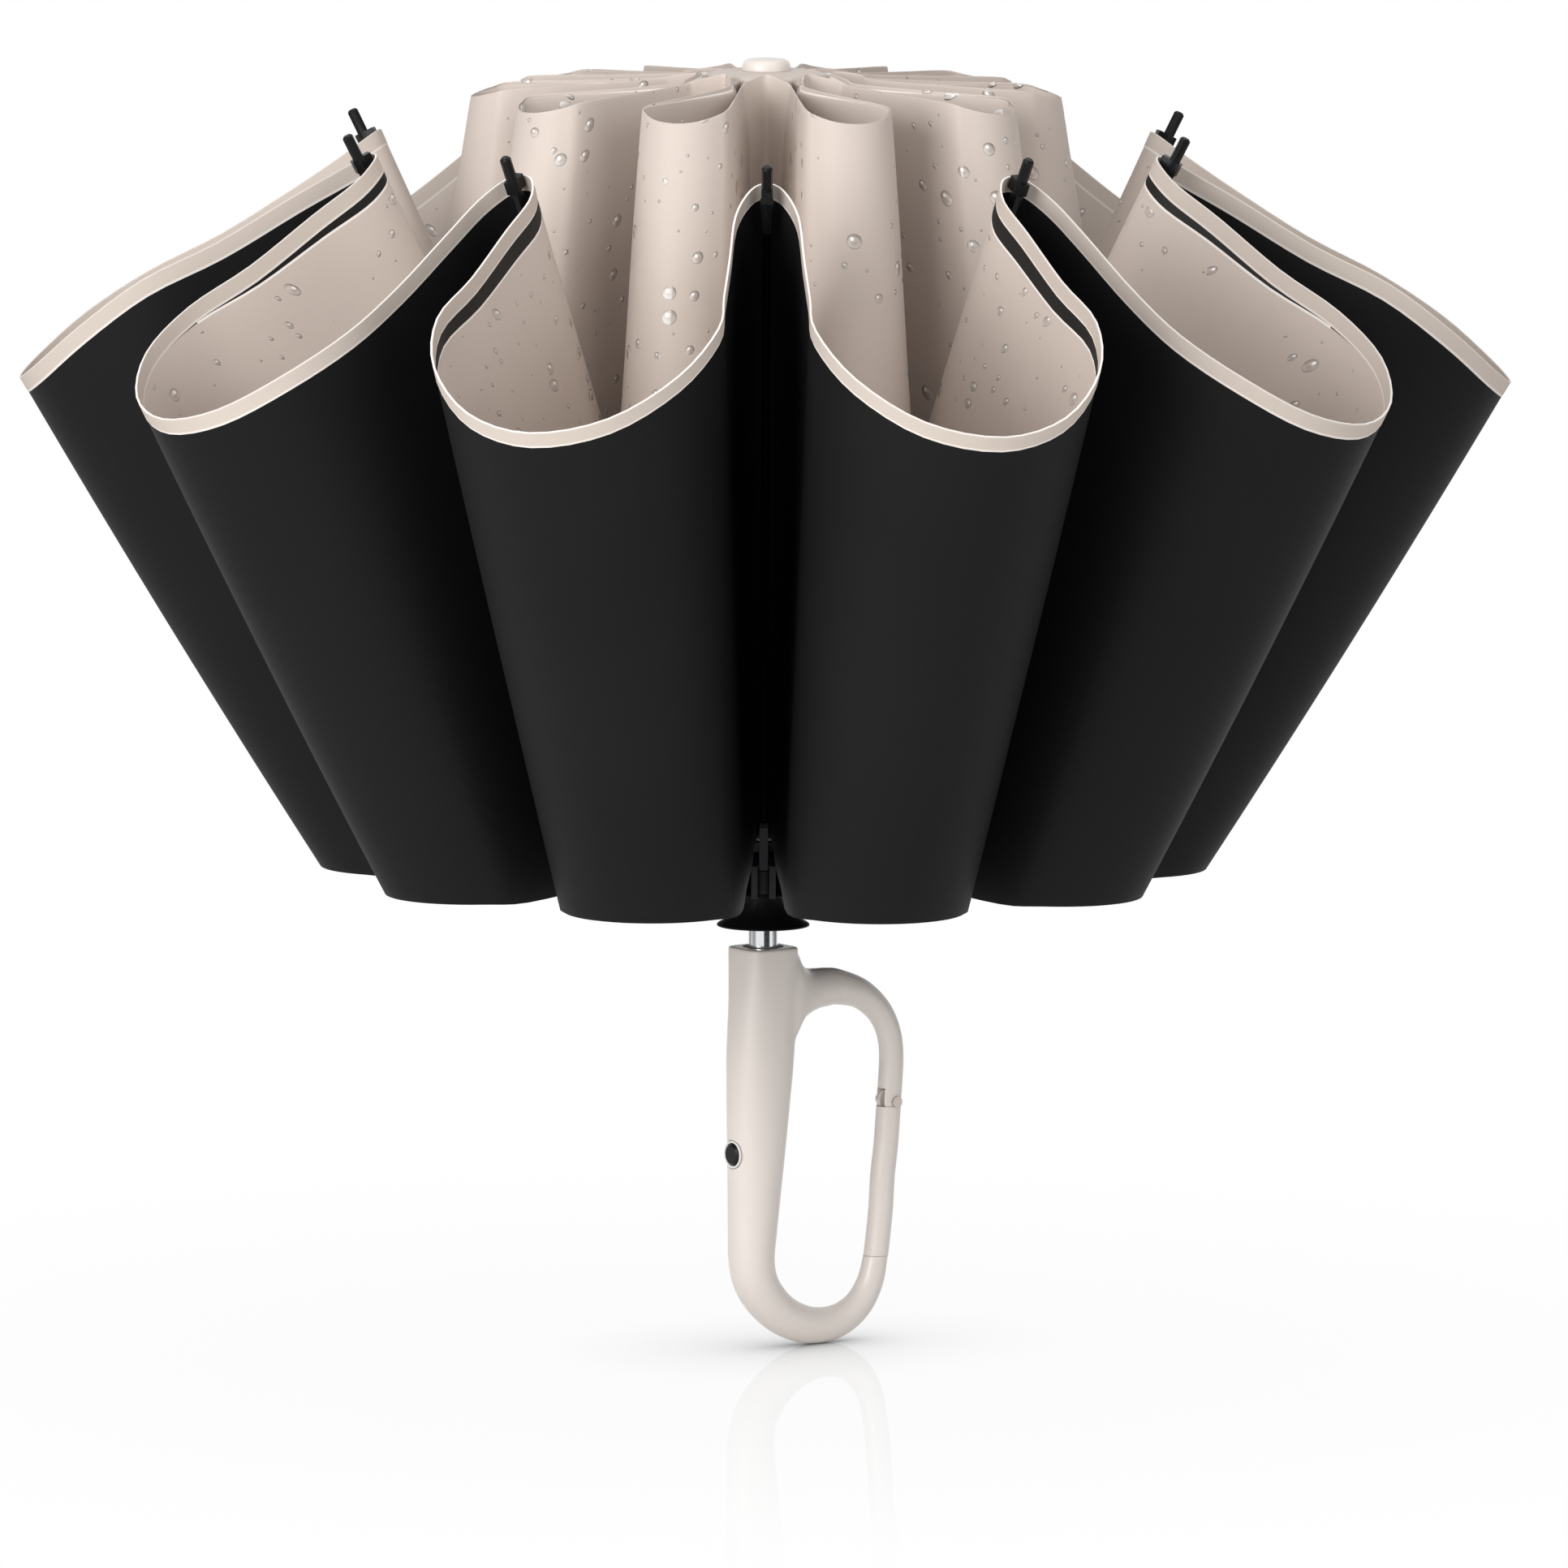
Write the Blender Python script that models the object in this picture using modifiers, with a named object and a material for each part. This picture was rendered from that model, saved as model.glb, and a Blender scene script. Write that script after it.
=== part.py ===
# Reverse-folding umbrella, shown folded shut with its handle down.
# Metres, +Z up. The shaft stands on the Z axis, the ring handle lies in the XZ plane
# towards +X, and the lowest point of the handle is at height 0.

import math

import bmesh
import bpy
from mathutils import Matrix, Vector

# How many ribs there are, and where the first one points.
RIB_COUNT = 10
FIRST_RIB_DEGREES = 18.0
RIB_STEP_DEGREES = 360.0 / RIB_COUNT

# How finely round pieces are drawn.
ROUND_SIDES = 24
GRIP_SIDES = 20
THIN_SIDES = 8
ARC_POINTS = 5
COIL_POINTS = 8

# Clearances.
FIT_GAP = 0.0003
PIN_GAP = 0.0003
BUTT_GAP = 0.0004
MERGE_DISTANCE = 0.00001
CUT_OVERRUN = 0.0020
CUT_EDGE = 0.0001

# Shaft: three tubes, one inside the other, with the opening spring inside.
LOWER_TUBE_RADIUS = 0.0060
TUBE_WALL = 0.0006
MIDDLE_TUBE_RADIUS = LOWER_TUBE_RADIUS - TUBE_WALL - FIT_GAP
UPPER_TUBE_RADIUS = MIDDLE_TUBE_RADIUS - TUBE_WALL - FIT_GAP
SHAFT_BORE = LOWER_TUBE_RADIUS + FIT_GAP
BUSH_WALL = 0.0017
BUSH_RADIUS = SHAFT_BORE + BUSH_WALL

# Handle: one bar runs down the grip and round the bottom of the ring, and a second
# one leaves the top of the grip and comes down to the hinge of the gate. Places are
# shares of the ring's reach and of the handle's length.
HANDLE_LENGTH = 0.1630
RING_REACH = 0.0640
GRIP_HALF_WIDTH = 0.0135
GRIP_HALF_DEPTH = 0.0115
GRIP_MOUTH_WALL = 0.0035
GRIP_MOUTH_SIDE_WALL = 0.0029
LEG_RADIUS = 0.0050
MOUTH_HALF_WIDTH = BUSH_RADIUS + FIT_GAP + GRIP_MOUTH_WALL
MOUTH_HALF_DEPTH = BUSH_RADIUS + FIT_GAP + GRIP_MOUTH_SIDE_WALL
GRIP_CENTRE_SHARES = (
    (0.000, 1.000), (0.000, 0.963), (0.000, 0.908), (-0.005, 0.847), (-0.019, 0.730),
    (-0.034, 0.607), (-0.048, 0.491), (-0.064, 0.374), (-0.075, 0.294),
    (-0.081, 0.230), (-0.055, 0.175), (0.023, 0.126), (0.156, 0.080), (0.328, 0.050),
    (0.489, 0.0436), (0.633, 0.056), (0.758, 0.089), (0.844, 0.141), (0.882, 0.202),
)
# The first sections swell from the mouth of the grip to its widest place, and the rest
# thin down from there to the ring's leg.
WIDEST = 4
GRIP_WIDTH_SHARES = (
    0.00, 0.03, 0.35, 0.71, 1.00, 0.93, 0.82, 0.69, 0.59, 0.51, 0.47, 0.42, 0.36,
    0.31, 0.25, 0.18, 0.11, 0.05, 0.00,
)
GRIP_DEPTH_SHARES = (
    0.00, 0.00, 0.33, 0.66, 1.00, 0.95, 0.88, 0.77, 0.72, 0.69, 0.63, 0.55, 0.46,
    0.37, 0.28, 0.18, 0.11, 0.05, 0.00,
)
GRIP_CORNER_SHARES = (
    0.70, 0.68, 0.58, 0.40, 0.20, 0.10, 0.04, 0.00, 0.00, 0.00, 0.00, 0.00, 0.00,
    0.00, 0.00, 0.00, 0.00, 0.00, 0.00,
)
ARM_ROOT_HALF_WIDTH = 0.0175
ARM_ROOT_HALF_DEPTH = 0.0084
ARM_CENTRE_SHARES = (
    (0.031, 0.883), (0.141, 0.883), (0.219, 0.883), (0.273, 0.884), (0.313, 0.885),
    (0.352, 0.885), (0.398, 0.885), (0.469, 0.886), (0.562, 0.883), (0.734, 0.863),
    (0.869, 0.826), (0.950, 0.783), (0.991, 0.736), (1.000, 0.687), (0.992, 0.632),
    (0.983, 0.586),
)
ARM_WIDTH_SHARES = (
    1.00, 1.00, 0.97, 0.86, 0.66, 0.48, 0.34, 0.25, 0.18, 0.10, 0.04, 0.01, 0.00,
    0.00, 0.00, 0.00,
)
ARM_DEPTH_SHARES = (
    1.00, 1.00, 1.00, 1.00, 0.97, 0.94, 0.88, 0.76, 0.59, 0.35, 0.18, 0.06, 0.00,
    0.00, 0.00, 0.00,
)

# Gate: the sprung lower part of the ring's leg, hinged where the arm ends. Its lower end
# and the end that it shuts on are level, so that it swings into the ring freely.
GATE_PIVOT_X = RING_REACH * ARM_CENTRE_SHARES[-1][0]
GATE_PIVOT_Z = HANDLE_LENGTH * ARM_CENTRE_SHARES[-1][1]
SLOT_HALF_WIDTH = 0.0026
SLOT_SIDE = LEG_RADIUS + CUT_OVERRUN
KNUCKLE_GAP = 0.0004
GATE_SHOULDER = LEG_RADIUS + KNUCKLE_GAP
GATE_CENTRE_SHARES = ((0.961, 0.479), (0.936, 0.402), (0.923, 0.325), (0.906, 0.264))
GATE_TOP_X = GATE_PIVOT_X - BUTT_GAP
GATE_BOTTOM_X = RING_REACH * GRIP_CENTRE_SHARES[-1][0]
TONGUE_EDGE = 0.0006
TONGUE_RADIUS = LEG_RADIUS - TONGUE_EDGE
TONGUE_SIDE_GAP = 0.0003
TONGUE_WIDTH = 0.0021
TONGUE_FAR = SLOT_HALF_WIDTH - TONGUE_SIDE_GAP
TONGUE_NEAR = TONGUE_FAR - TONGUE_WIDTH
TONGUE_HALF_NECK = 0.0034
TONGUE_ROOT = 0.0030
SLOT_TOP = TONGUE_RADIUS + CUT_OVERRUN / 2
PIN_RADIUS = 0.0015
PIN_HEAD_RADIUS = 0.0023
PIN_HEAD_HEIGHT = 0.0008
GATE_SPRING_WIRE = 0.0002
GATE_SPRING_RADIUS = PIN_RADIUS + GATE_SPRING_WIRE + 2 * PIN_GAP
GATE_SPRING_TURNS = 2

# Release button, in a bore across the grip at one of its sections.
BUTTON_STATION = 6
BUTTON_Z = HANDLE_LENGTH * GRIP_CENTRE_SHARES[BUTTON_STATION][1]
BUTTON_RADIUS = 0.00435
BUTTON_PROUD = 0.0008
BUTTON_DOME = 0.0008
BUTTON_TIP_RADIUS = BUTTON_RADIUS - BUTTON_DOME
BUTTON_LENGTH = 0.0066
BUTTON_SPRING_ROOM = 0.0107
RING_WIDTH = 0.0009
RING_SEAT_DEPTH = 0.0010
RING_THICKNESS = 0.0007
BUTTON_BORE = BUTTON_RADIUS + FIT_GAP
RING_INNER_RADIUS = BUTTON_BORE + CUT_EDGE / 2
RING_OUTER_RADIUS = RING_INNER_RADIUS + RING_WIDTH
RING_SEAT_RADIUS = RING_OUTER_RADIUS + FIT_GAP
BUTTON_SPRING_WIRE = 0.0003
BUTTON_SPRING_RADIUS = BUTTON_RADIUS - BUTTON_SPRING_WIRE - 4 * FIT_GAP
BUTTON_SPRING_TURNS = 5

# The lower tube ends over the button, and the bush ends just inside the grip's mouth.
TUBE_FLOOR = 0.0123
LOWER_TUBE_BOTTOM = BUTTON_Z + BUTTON_BORE + TUBE_FLOOR
BUSH_LENGTH = 0.0214
BUSH_RECESS = 0.0006
BUSH_TOP = HANDLE_LENGTH - BUSH_RECESS
BUSH_BOTTOM = BUSH_TOP - BUSH_LENGTH

# Flared cup under the runner, and the stop inside it that the runner rests on.
BARE_TUBE = 0.0085
CUP_HEIGHT = 0.0127
CUP_RADIUS = 0.0186
CUP_NECK_WALL = 0.0021
CUP_NECK = SHAFT_BORE + CUP_NECK_WALL
CUP_BOTTOM = HANDLE_LENGTH + BARE_TUBE
CUP_TOP = CUP_BOTTOM + CUP_HEIGHT
CUP_OUTER_SHARES = (
    (0.00, 1.00), (0.02, 0.84), (0.20, 0.59), (0.60, 0.315), (1.00, 0.12), (1.00, 0.00),
)
CUP_INNER_SHARES = ((0.90, 0.00), (0.51, 0.22), (0.12, 0.496), (0.00, 0.606))
STOP_WALL = 0.0015
STOP_HEIGHT = 0.0059

# Runner on the lower tube: a hub with a collar for the stretchers on top, and ten pairs
# of cheeks for the outer ribs round it.
RUNNER_CORE = 0.0042
COLLAR_RIM = 0.0021
COLLAR_HEIGHT = 0.0095
HUB_STEP = 0.0019
HUB_EDGE = 0.0010
RIB_PIVOT_STEP = 0.0065
CHEEK_ROOT = 0.0025
CHEEK_OVERHANG = 0.0035
CHEEK_ROUND = 0.0030
CHEEK_HEEL_RISE = 0.0055
CHEEK_HEIGHT = 0.0165
CHEEK_THICKNESS = 0.0026
LEVER_HALF_WIDTH = 0.00175
LEVER_SIDE_GAP = 0.00055
LEVER_EYE = 0.0026
CHEEK_HALF_GAP = LEVER_HALF_WIDTH + LEVER_SIDE_GAP
LEVER_ROOM = CHEEK_HALF_GAP + CUT_EDGE
RUNNER_BOTTOM = CUP_TOP + FIT_GAP
CHEEK_BOTTOM = RUNNER_BOTTOM + HUB_EDGE / 2
CHEEK_TOP = CHEEK_BOTTOM + CHEEK_HEIGHT
HUB_TOP = CHEEK_TOP + HUB_EDGE
RUNNER_TOP = HUB_TOP + COLLAR_HEIGHT
STRETCHER_PIVOT = (SHAFT_BORE + RUNNER_CORE, (HUB_TOP + RUNNER_TOP) / 2)
COLLAR_RADIUS = STRETCHER_PIVOT[0] + COLLAR_RIM
HUB_RADIUS = COLLAR_RADIUS + HUB_STEP
RIB_PIVOT = (HUB_RADIUS + RIB_PIVOT_STEP, CHEEK_TOP - CHEEK_ROUND)
CHEEK_OUTER = RIB_PIVOT[0] + CHEEK_OVERHANG

# Lengths of the tubes above the runner, which set the height of the top notch.
TUBE_ABOVE_RUNNER = 0.0495
TUBE_LAP = 0.0220
MIDDLE_TUBE_LENGTH = 0.1620
UPPER_TUBE_LENGTH = 0.1320
LOWER_TUBE_TOP = RUNNER_TOP + TUBE_ABOVE_RUNNER
MIDDLE_TUBE_BOTTOM = LOWER_TUBE_TOP - TUBE_LAP
MIDDLE_TUBE_TOP = MIDDLE_TUBE_BOTTOM + MIDDLE_TUBE_LENGTH
UPPER_TUBE_BOTTOM = MIDDLE_TUBE_TOP - TUBE_LAP
UPPER_TUBE_TOP = UPPER_TUBE_BOTTOM + UPPER_TUBE_LENGTH

# Top notch, cloth over it, and crown cap.
CLOTH_THICKNESS = 0.0006
NOTCH_CORE = 0.0050
NOTCH_RIM = 0.0020
NOTCH_HEIGHT = 0.0266
NOTCH_PIVOT_RISE = 0.0080
NOTCH_COVER = 0.0016
NOTCH_TOP = UPPER_TUBE_TOP + NOTCH_COVER
NOTCH_BOTTOM = NOTCH_TOP - NOTCH_HEIGHT
TOP_PIVOT = (UPPER_TUBE_RADIUS + FIT_GAP + NOTCH_CORE, NOTCH_BOTTOM + NOTCH_PIVOT_RISE)
NOTCH_RADIUS = TOP_PIVOT[0] + NOTCH_RIM
DRUM_DROP = 0.0015
CROWN_HOLE_GAP = 0.0020
CROWN_HEIGHT = NOTCH_TOP + FIT_GAP + CLOTH_THICKNESS / 2 + DRUM_DROP / 3
CAP_RADIUS = 0.0097
CAP_HEIGHT = 0.0047
CAP_EDGE = 0.0010
CAP_BOTTOM = CROWN_HEIGHT + CLOTH_THICKNESS / 2 + FIT_GAP
CAP_TOP = CAP_BOTTOM + CAP_HEIGHT
STEM_RADIUS = UPPER_TUBE_RADIUS - TUBE_WALL - FIT_GAP
STEM_LENGTH = 0.0168
STEM_BOTTOM = CAP_BOTTOM - STEM_LENGTH

# Opening spring inside the tubes.
DRIVE_SPRING_WIRE = 0.0005
DRIVE_SPRING_GAP = 0.0005
DRIVE_SPRING_END = 0.0035
DRIVE_SPRING_RADIUS = (
    UPPER_TUBE_RADIUS - TUBE_WALL - DRIVE_SPRING_GAP - DRIVE_SPRING_WIRE
)
DRIVE_SPRING_BOTTOM = LOWER_TUBE_BOTTOM + DRIVE_SPRING_END
DRIVE_SPRING_TOP = STEM_BOTTOM - DRIVE_SPRING_END
DRIVE_SPRING_TURNS = 20

# Main ribs and stretchers: flat links that lap at the elbow.
ELBOW_RISE = 0.1375
ELBOW_BOW = 0.0225
ELBOW = (STRETCHER_PIVOT[0] + ELBOW_BOW, STRETCHER_PIVOT[1] + ELBOW_RISE)
LINK_NEAR = 0.0002
LINK_THICKNESS = 0.0014
LINK_FAR = LINK_NEAR + LINK_THICKNESS
LINK_HALF_DEPTH = 0.0015
LINK_EYE = 0.0017
ELBOW_RIVET = 0.0008
ELBOW_PLAY = 0.0007
ELBOW_HOLE = ELBOW_RIVET + ELBOW_PLAY
ELBOW_WALL = 0.0011
ELBOW_EYE = ELBOW_HOLE + ELBOW_WALL
ELBOW_HEAD = 0.0018
ELBOW_HEAD_HEIGHT = 0.0007
ELBOW_HEAD_NEAR = LINK_FAR + FIT_GAP
ELBOW_HEAD_FAR = ELBOW_HEAD_NEAR + ELBOW_HEAD_HEIGHT
WIRE_RADIUS = 0.0004
WIRE_HOLE = WIRE_RADIUS + PIN_GAP + CUT_EDGE / 2
GROOVE_HALF_WIDTH = WIRE_RADIUS + PIN_GAP + CUT_EDGE
GROOVE_DEPTH = WIRE_RADIUS + PIN_GAP + CUT_EDGE
LINK_SLOT_WIDTH = LINK_THICKNESS + 2 * FIT_GAP + 2 * CUT_EDGE
LINK_SLOT_DEPTH = LINK_EYE + PIN_GAP + CUT_EDGE

# Outer ribs: a lever at the runner and a long round rod, with a moulded tip. Places
# called short are measured back from the rib's end.
OUTER_RIB_LENGTH = 0.3324
RIB_LEAN_DEGREES = 27.49
LEVER_HALF_DEPTH = 0.0022
LEVER_LENGTH = 0.0190
ROD_RADIUS = 0.0016
ROD_START = 0.0100
ROD_SHORT_OF_END = 0.0040
RIVET_RADIUS = 0.0010
RIVET_HEAD = 0.0017
RIVET_HALF_LENGTH = CHEEK_HALF_GAP + CHEEK_THICKNESS + PIN_GAP
RIVET_HEAD_HEIGHT = 0.0006
RIVET_HOLE = RIVET_RADIUS + PIN_GAP + CUT_EDGE
TIP_WALL = 0.00035
TIP_RADIUS = ROD_RADIUS + FIT_GAP + TIP_WALL
TIP_ROUNDING = 0.0008
SLEEVE_STEP = 0.00035
SLEEVE_RADIUS = TIP_RADIUS + SLEEVE_STEP
SLEEVE_LENGTH = 0.0150
SLEEVE_TOP_SHORT = 0.0150
SLEEVE_BOTTOM_SHORT = SLEEVE_TOP_SHORT + SLEEVE_LENGTH
HOOK_HEIGHT = 0.0055
HOOK_TOP_SHORT = 0.0102
HOOK_BOTTOM_SHORT = HOOK_TOP_SHORT + HOOK_HEIGHT
HOOK_REACH = 0.0050
HOOK_HEEL = 0.0031
HOOK_HALF_WIDTH = 0.0020

# Canopy: one continuous sheet from the crown to the hem, given at seven levels on the
# line over a rib (valley) and on the line between two ribs (lobe).
CROWN_RADIUS = STEM_RADIUS + CROWN_HOLE_GAP
DRUM_REACH = 0.0110
DRUM_RADIUS = NOTCH_RADIUS + DRUM_REACH
DRUM_HEIGHT = CROWN_HEIGHT - DRUM_DROP
DIP_STEP = 0.0020
DIP_FALL = 0.0075
DIP_DEPTH = 0.0730
DIP_LOBE_RADIUS = 0.0450
DIP_HALF_WIDTH = 0.0060
RIM_STEP = 0.0050
RIM_RISE = 0.0010
RIM_FALL = 0.0110
RIM_LOBE_RADIUS = 0.1170
RIM_HALF_WIDTH = 0.0185
WAIST_CLEARANCE = 0.0044
WAIST_SHARE = 0.50
FOLD_STEP = 0.0150
FOLD_OFFSET = 0.0045
FOLD_DROP = 0.0031
FOLD_LOBE_RADIUS = 0.1770
FOLD_HALF_WIDTH = 0.0315
HEM_OFFSET = 0.0075
HEM_DROP = 0.0865
HEM_LOBE_RADIUS = 0.2970
HEM_HALF_WIDTH = 0.0555
VALLEY_HALF_WIDTH = 0.0038
# For the dip, rim, waist, fold and hem: the rounded end of the lobe as a share of its
# half width, the flat of the valley as a share of the full one, and how far the side's
# foot, side and shoulder have come down from valley to lobe.
LOBE_CAP_SHARES = (1.67, 0.97, 1.12, 1.18, 0.884)
VALLEY_WIDTH_SHARES = (0.74, 0.79, 0.95, 1.05, 1.05)
FOOT_DROP_SHARES = (0.15, 0.05, 0.00, 0.45, 0.08)
SIDE_DROP_SHARES = (0.75, 0.55, 0.00, 1.00, 0.65)
SHOULDER_DROP_SHARES = (0.95, 0.90, 0.00, 1.00, 0.93)
SHARP_DEGREES = 38.0

# Colours as linear red, green, blue.
BEIGE = (0.685, 0.610, 0.545)
BLACK = (0.018, 0.018, 0.019)
DARK_PLASTIC = (0.022, 0.022, 0.024)
STEEL = (0.62, 0.63, 0.65)
DARK_STEEL = (0.060, 0.060, 0.064)
PALE_RING = (0.74, 0.73, 0.71)


def start_scene():
    for thing in list(bpy.data.objects):
        bpy.data.objects.remove(thing, do_unlink=True)
    collections = []
    for name in ("umbrella", "cutters"):
        collection = bpy.data.collections.new(name)
        bpy.context.scene.collection.children.link(collection)
        collections.append(collection)
    return collections


def make_material(name, colour, roughness, metallic=0.0):
    material = bpy.data.materials.new(name)
    material.use_nodes = True
    shader = material.node_tree.nodes["Principled BSDF"]
    shader.inputs["Base Color"].default_value = (*colour, 1.0)
    shader.inputs["Roughness"].default_value = roughness
    shader.inputs["Metallic"].default_value = metallic
    material.diffuse_color = (*colour, 1.0)
    return material


def add_part(name, mesh, material, location=(0, 0, 0), turn=0.0, parent=None):
    thing = bpy.data.objects.new(name, mesh)
    thing.location = location
    thing.rotation_euler = (0, 0, turn)
    parts.objects.link(thing)
    if not mesh.materials:
        mesh.materials.append(material)
    mesh.polygons.foreach_set("use_smooth", [True] * len(mesh.polygons))
    mesh.set_sharp_from_angle(angle=math.radians(SHARP_DEGREES))
    if parent:
        thing.parent = parent
        thing.matrix_parent_inverse = Matrix.Translation(parent.location).inverted()
    return thing


def add_joint(name, location):
    joint = bpy.data.objects.new(name, None)
    joint.location = location
    joint.empty_display_size = ROD_START
    parts.objects.link(joint)
    return joint


def add_cutter(name, mesh, location=(0, 0, 0), turn=0.0):
    thing = bpy.data.objects.new(name, mesh)
    thing.location = location
    thing.rotation_euler = (0, 0, turn)
    thing.display_type = "WIRE"
    thing.hide_render = True
    cutters.objects.link(thing)
    return thing


def combine(thing, tool, operation, own_overlaps=False):
    step = thing.modifiers.new(tool.name, "BOOLEAN")
    step.operation = operation
    step.solver = "EXACT"
    step.use_self = own_overlaps
    step.object = tool
    return step


def mesh_of(bm, name):
    mesh = bpy.data.meshes.new(name)
    bm.to_mesh(mesh)
    bm.free()
    return mesh


def outward(bm):
    if bm.calc_volume(signed=True) < 0:
        bmesh.ops.reverse_faces(bm, faces=bm.faces)


def evaluated_mesh(thing, name):
    # The finished mesh of an object with modifiers or a curve, which is then removed.
    bpy.context.view_layer.update()
    graph = bpy.context.evaluated_depsgraph_get()
    mesh = bpy.data.meshes.new_from_object(thing.evaluated_get(graph))
    mesh.name = name
    bpy.data.objects.remove(thing, do_unlink=True)
    return mesh


def baked(thing, name):
    # A repeated piece shares one finished mesh, so its modifiers are made final here.
    tools = [step.object for step in thing.modifiers if step.type == "BOOLEAN"]
    mesh = evaluated_mesh(thing, name)
    for used in tools:
        bpy.data.objects.remove(used, do_unlink=True)
    return mesh


def welded(mesh, name, distance):
    bm = bmesh.new()
    bm.from_mesh(mesh)
    bpy.data.meshes.remove(mesh)
    bmesh.ops.remove_doubles(bm, verts=bm.verts, dist=distance)
    outward(bm)
    return mesh_of(bm, name)


def lathe(name, outline, sides=ROUND_SIDES):
    # The outline is (radius, height), from the top down the outer side. One that starts
    # off the axis is closed, and becomes a ring.
    corners = [(radius, 0, height) for radius, height in outline]
    edges = [(index, index + 1) for index in range(len(corners) - 1)]
    if outline[0][0] > 0:
        edges.append((len(corners) - 1, 0))
    mesh = bpy.data.meshes.new(name)
    mesh.from_pydata(corners, edges, [])
    thing = bpy.data.objects.new(name, mesh)
    cutters.objects.link(thing)
    turn = thing.modifiers.new("turn", "SCREW")
    turn.steps = sides
    turn.render_steps = sides
    turn.use_merge_vertices = True
    turn.merge_threshold = MERGE_DISTANCE
    return welded(evaluated_mesh(thing, name), name, MERGE_DISTANCE)


def tube(name, radius, wall, bottom, top):
    inner = radius - wall
    return lathe(name, ((radius, top), (radius, bottom), (inner, bottom), (inner, top)))


def rod(name, radius, start, end, sides=ROUND_SIDES):
    # A closed cylinder between two points.
    start, end = Vector(start), Vector(end)
    bm = bmesh.new()
    bmesh.ops.create_cone(
        bm,
        cap_ends=True,
        segments=sides,
        radius1=radius,
        radius2=radius,
        depth=(end - start).length,
    )
    aim = (end - start).to_track_quat("Z", "Y").to_matrix().to_4x4()
    bm.transform(Matrix.Translation((start + end) / 2) @ aim)
    return mesh_of(bm, name)


def box(name, low, high):
    low, high = Vector(low), Vector(high)
    bm = bmesh.new()
    bmesh.ops.create_cube(bm, size=1.0)
    size = high - low
    bm.transform(Matrix.Translation((low + high) / 2) @ Matrix.Diagonal((*size, 1)))
    return mesh_of(bm, name)


def headed_pin(name, radius, near, far, head, near_end, far_end, sides=ROUND_SIDES):
    # A pin along Y from one head's inner face to the other's, with its heads outside.
    # A head of no thickness leaves that end plain.
    outline = [(0, far_end)]
    if far_end > far:
        outline += [(head, far_end), (head, far)]
    outline += [(radius, far), (radius, near)]
    if near > near_end:
        outline += [(head, near), (head, near_end)]
    outline.append((0, near_end))
    mesh = lathe(name, outline, sides)
    mesh.transform(Matrix.Rotation(-math.pi / 2, 4, "X"))
    return mesh


def plate(name, outline, near, far):
    # A flat outline in the XZ plane, from one Y to another.
    curve = bpy.data.curves.new(name, "CURVE")
    curve.dimensions = "2D"
    curve.fill_mode = "BOTH"
    curve.extrude = (far - near) / 2
    line = curve.splines.new("POLY")
    line.points.add(len(outline) - 1)
    line.use_cyclic_u = True
    for point, (x, z) in zip(line.points, outline):
        point.co = (x, z, 0, 1)
    thing = bpy.data.objects.new(name, curve)
    cutters.objects.link(thing)
    mesh = welded(evaluated_mesh(thing, name), name, MERGE_DISTANCE)
    upright = Matrix.Rotation(math.pi / 2, 4, "X")
    mesh.transform(Matrix.Translation((0, (near + far) / 2, 0)) @ upright)
    return mesh


def joined(name, meshes):
    # Several closed pieces as one mesh, for a tool that cuts or adds them together.
    bm = bmesh.new()
    for mesh in meshes:
        bm.from_mesh(mesh)
    whole = bpy.data.meshes.new(name)
    bm.to_mesh(whole)
    bm.free()
    return whole


def around(name, mesh, count, first_degrees):
    # One mesh repeated about the shaft.
    bm = bmesh.new()
    for index in range(count):
        turn = math.radians(first_degrees + index * 360.0 / count)
        copy = mesh.copy()
        copy.transform(Matrix.Rotation(turn, 4, "Z"))
        bm.from_mesh(copy)
        bpy.data.meshes.remove(copy)
    whole = bpy.data.meshes.new(name)
    bm.to_mesh(whole)
    bm.free()
    return whole


def loft(name, centres, half_widths, half_depths, corner_shares, level_end=False):
    # Unlike oval sections along a path in the XZ plane. A corner share of 0 is an
    # ellipse, and a larger one is nearer to a rectangle. The last section is square to
    # the path, or level.
    bm = bmesh.new()
    rings = []
    sides = GRIP_SIDES
    for index, (x, z) in enumerate(centres):
        before = centres[max(index - 1, 0)]
        after = centres[min(index + 1, len(centres) - 1)]
        along = Vector((after[0] - before[0], 0, after[1] - before[1])).normalized()
        if level_end and index == len(centres) - 1:
            along = Vector((0, 0, math.copysign(1, along.z)))
        across = Vector((-along.z, 0, along.x))
        power = 1.0 - corner_shares[index]
        ring = []
        for step in range(sides):
            angle = 2 * math.pi * (step + 0.5) / sides
            c, s = math.cos(angle), math.sin(angle)
            wide = math.copysign(abs(c) ** power, c) * half_widths[index]
            deep = math.copysign(abs(s) ** power, s) * half_depths[index]
            ring.append(bm.verts.new(Vector((x, deep, z)) + across * wide))
        rings.append(ring)
    for one, two in zip(rings, rings[1:]):
        for step in range(sides):
            after = (step + 1) % sides
            bm.faces.new((one[step], one[after], two[after], two[step]))
    bm.faces.new(rings[0][::-1])
    bm.faces.new(rings[-1])
    outward(bm)
    return mesh_of(bm, name)


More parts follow.
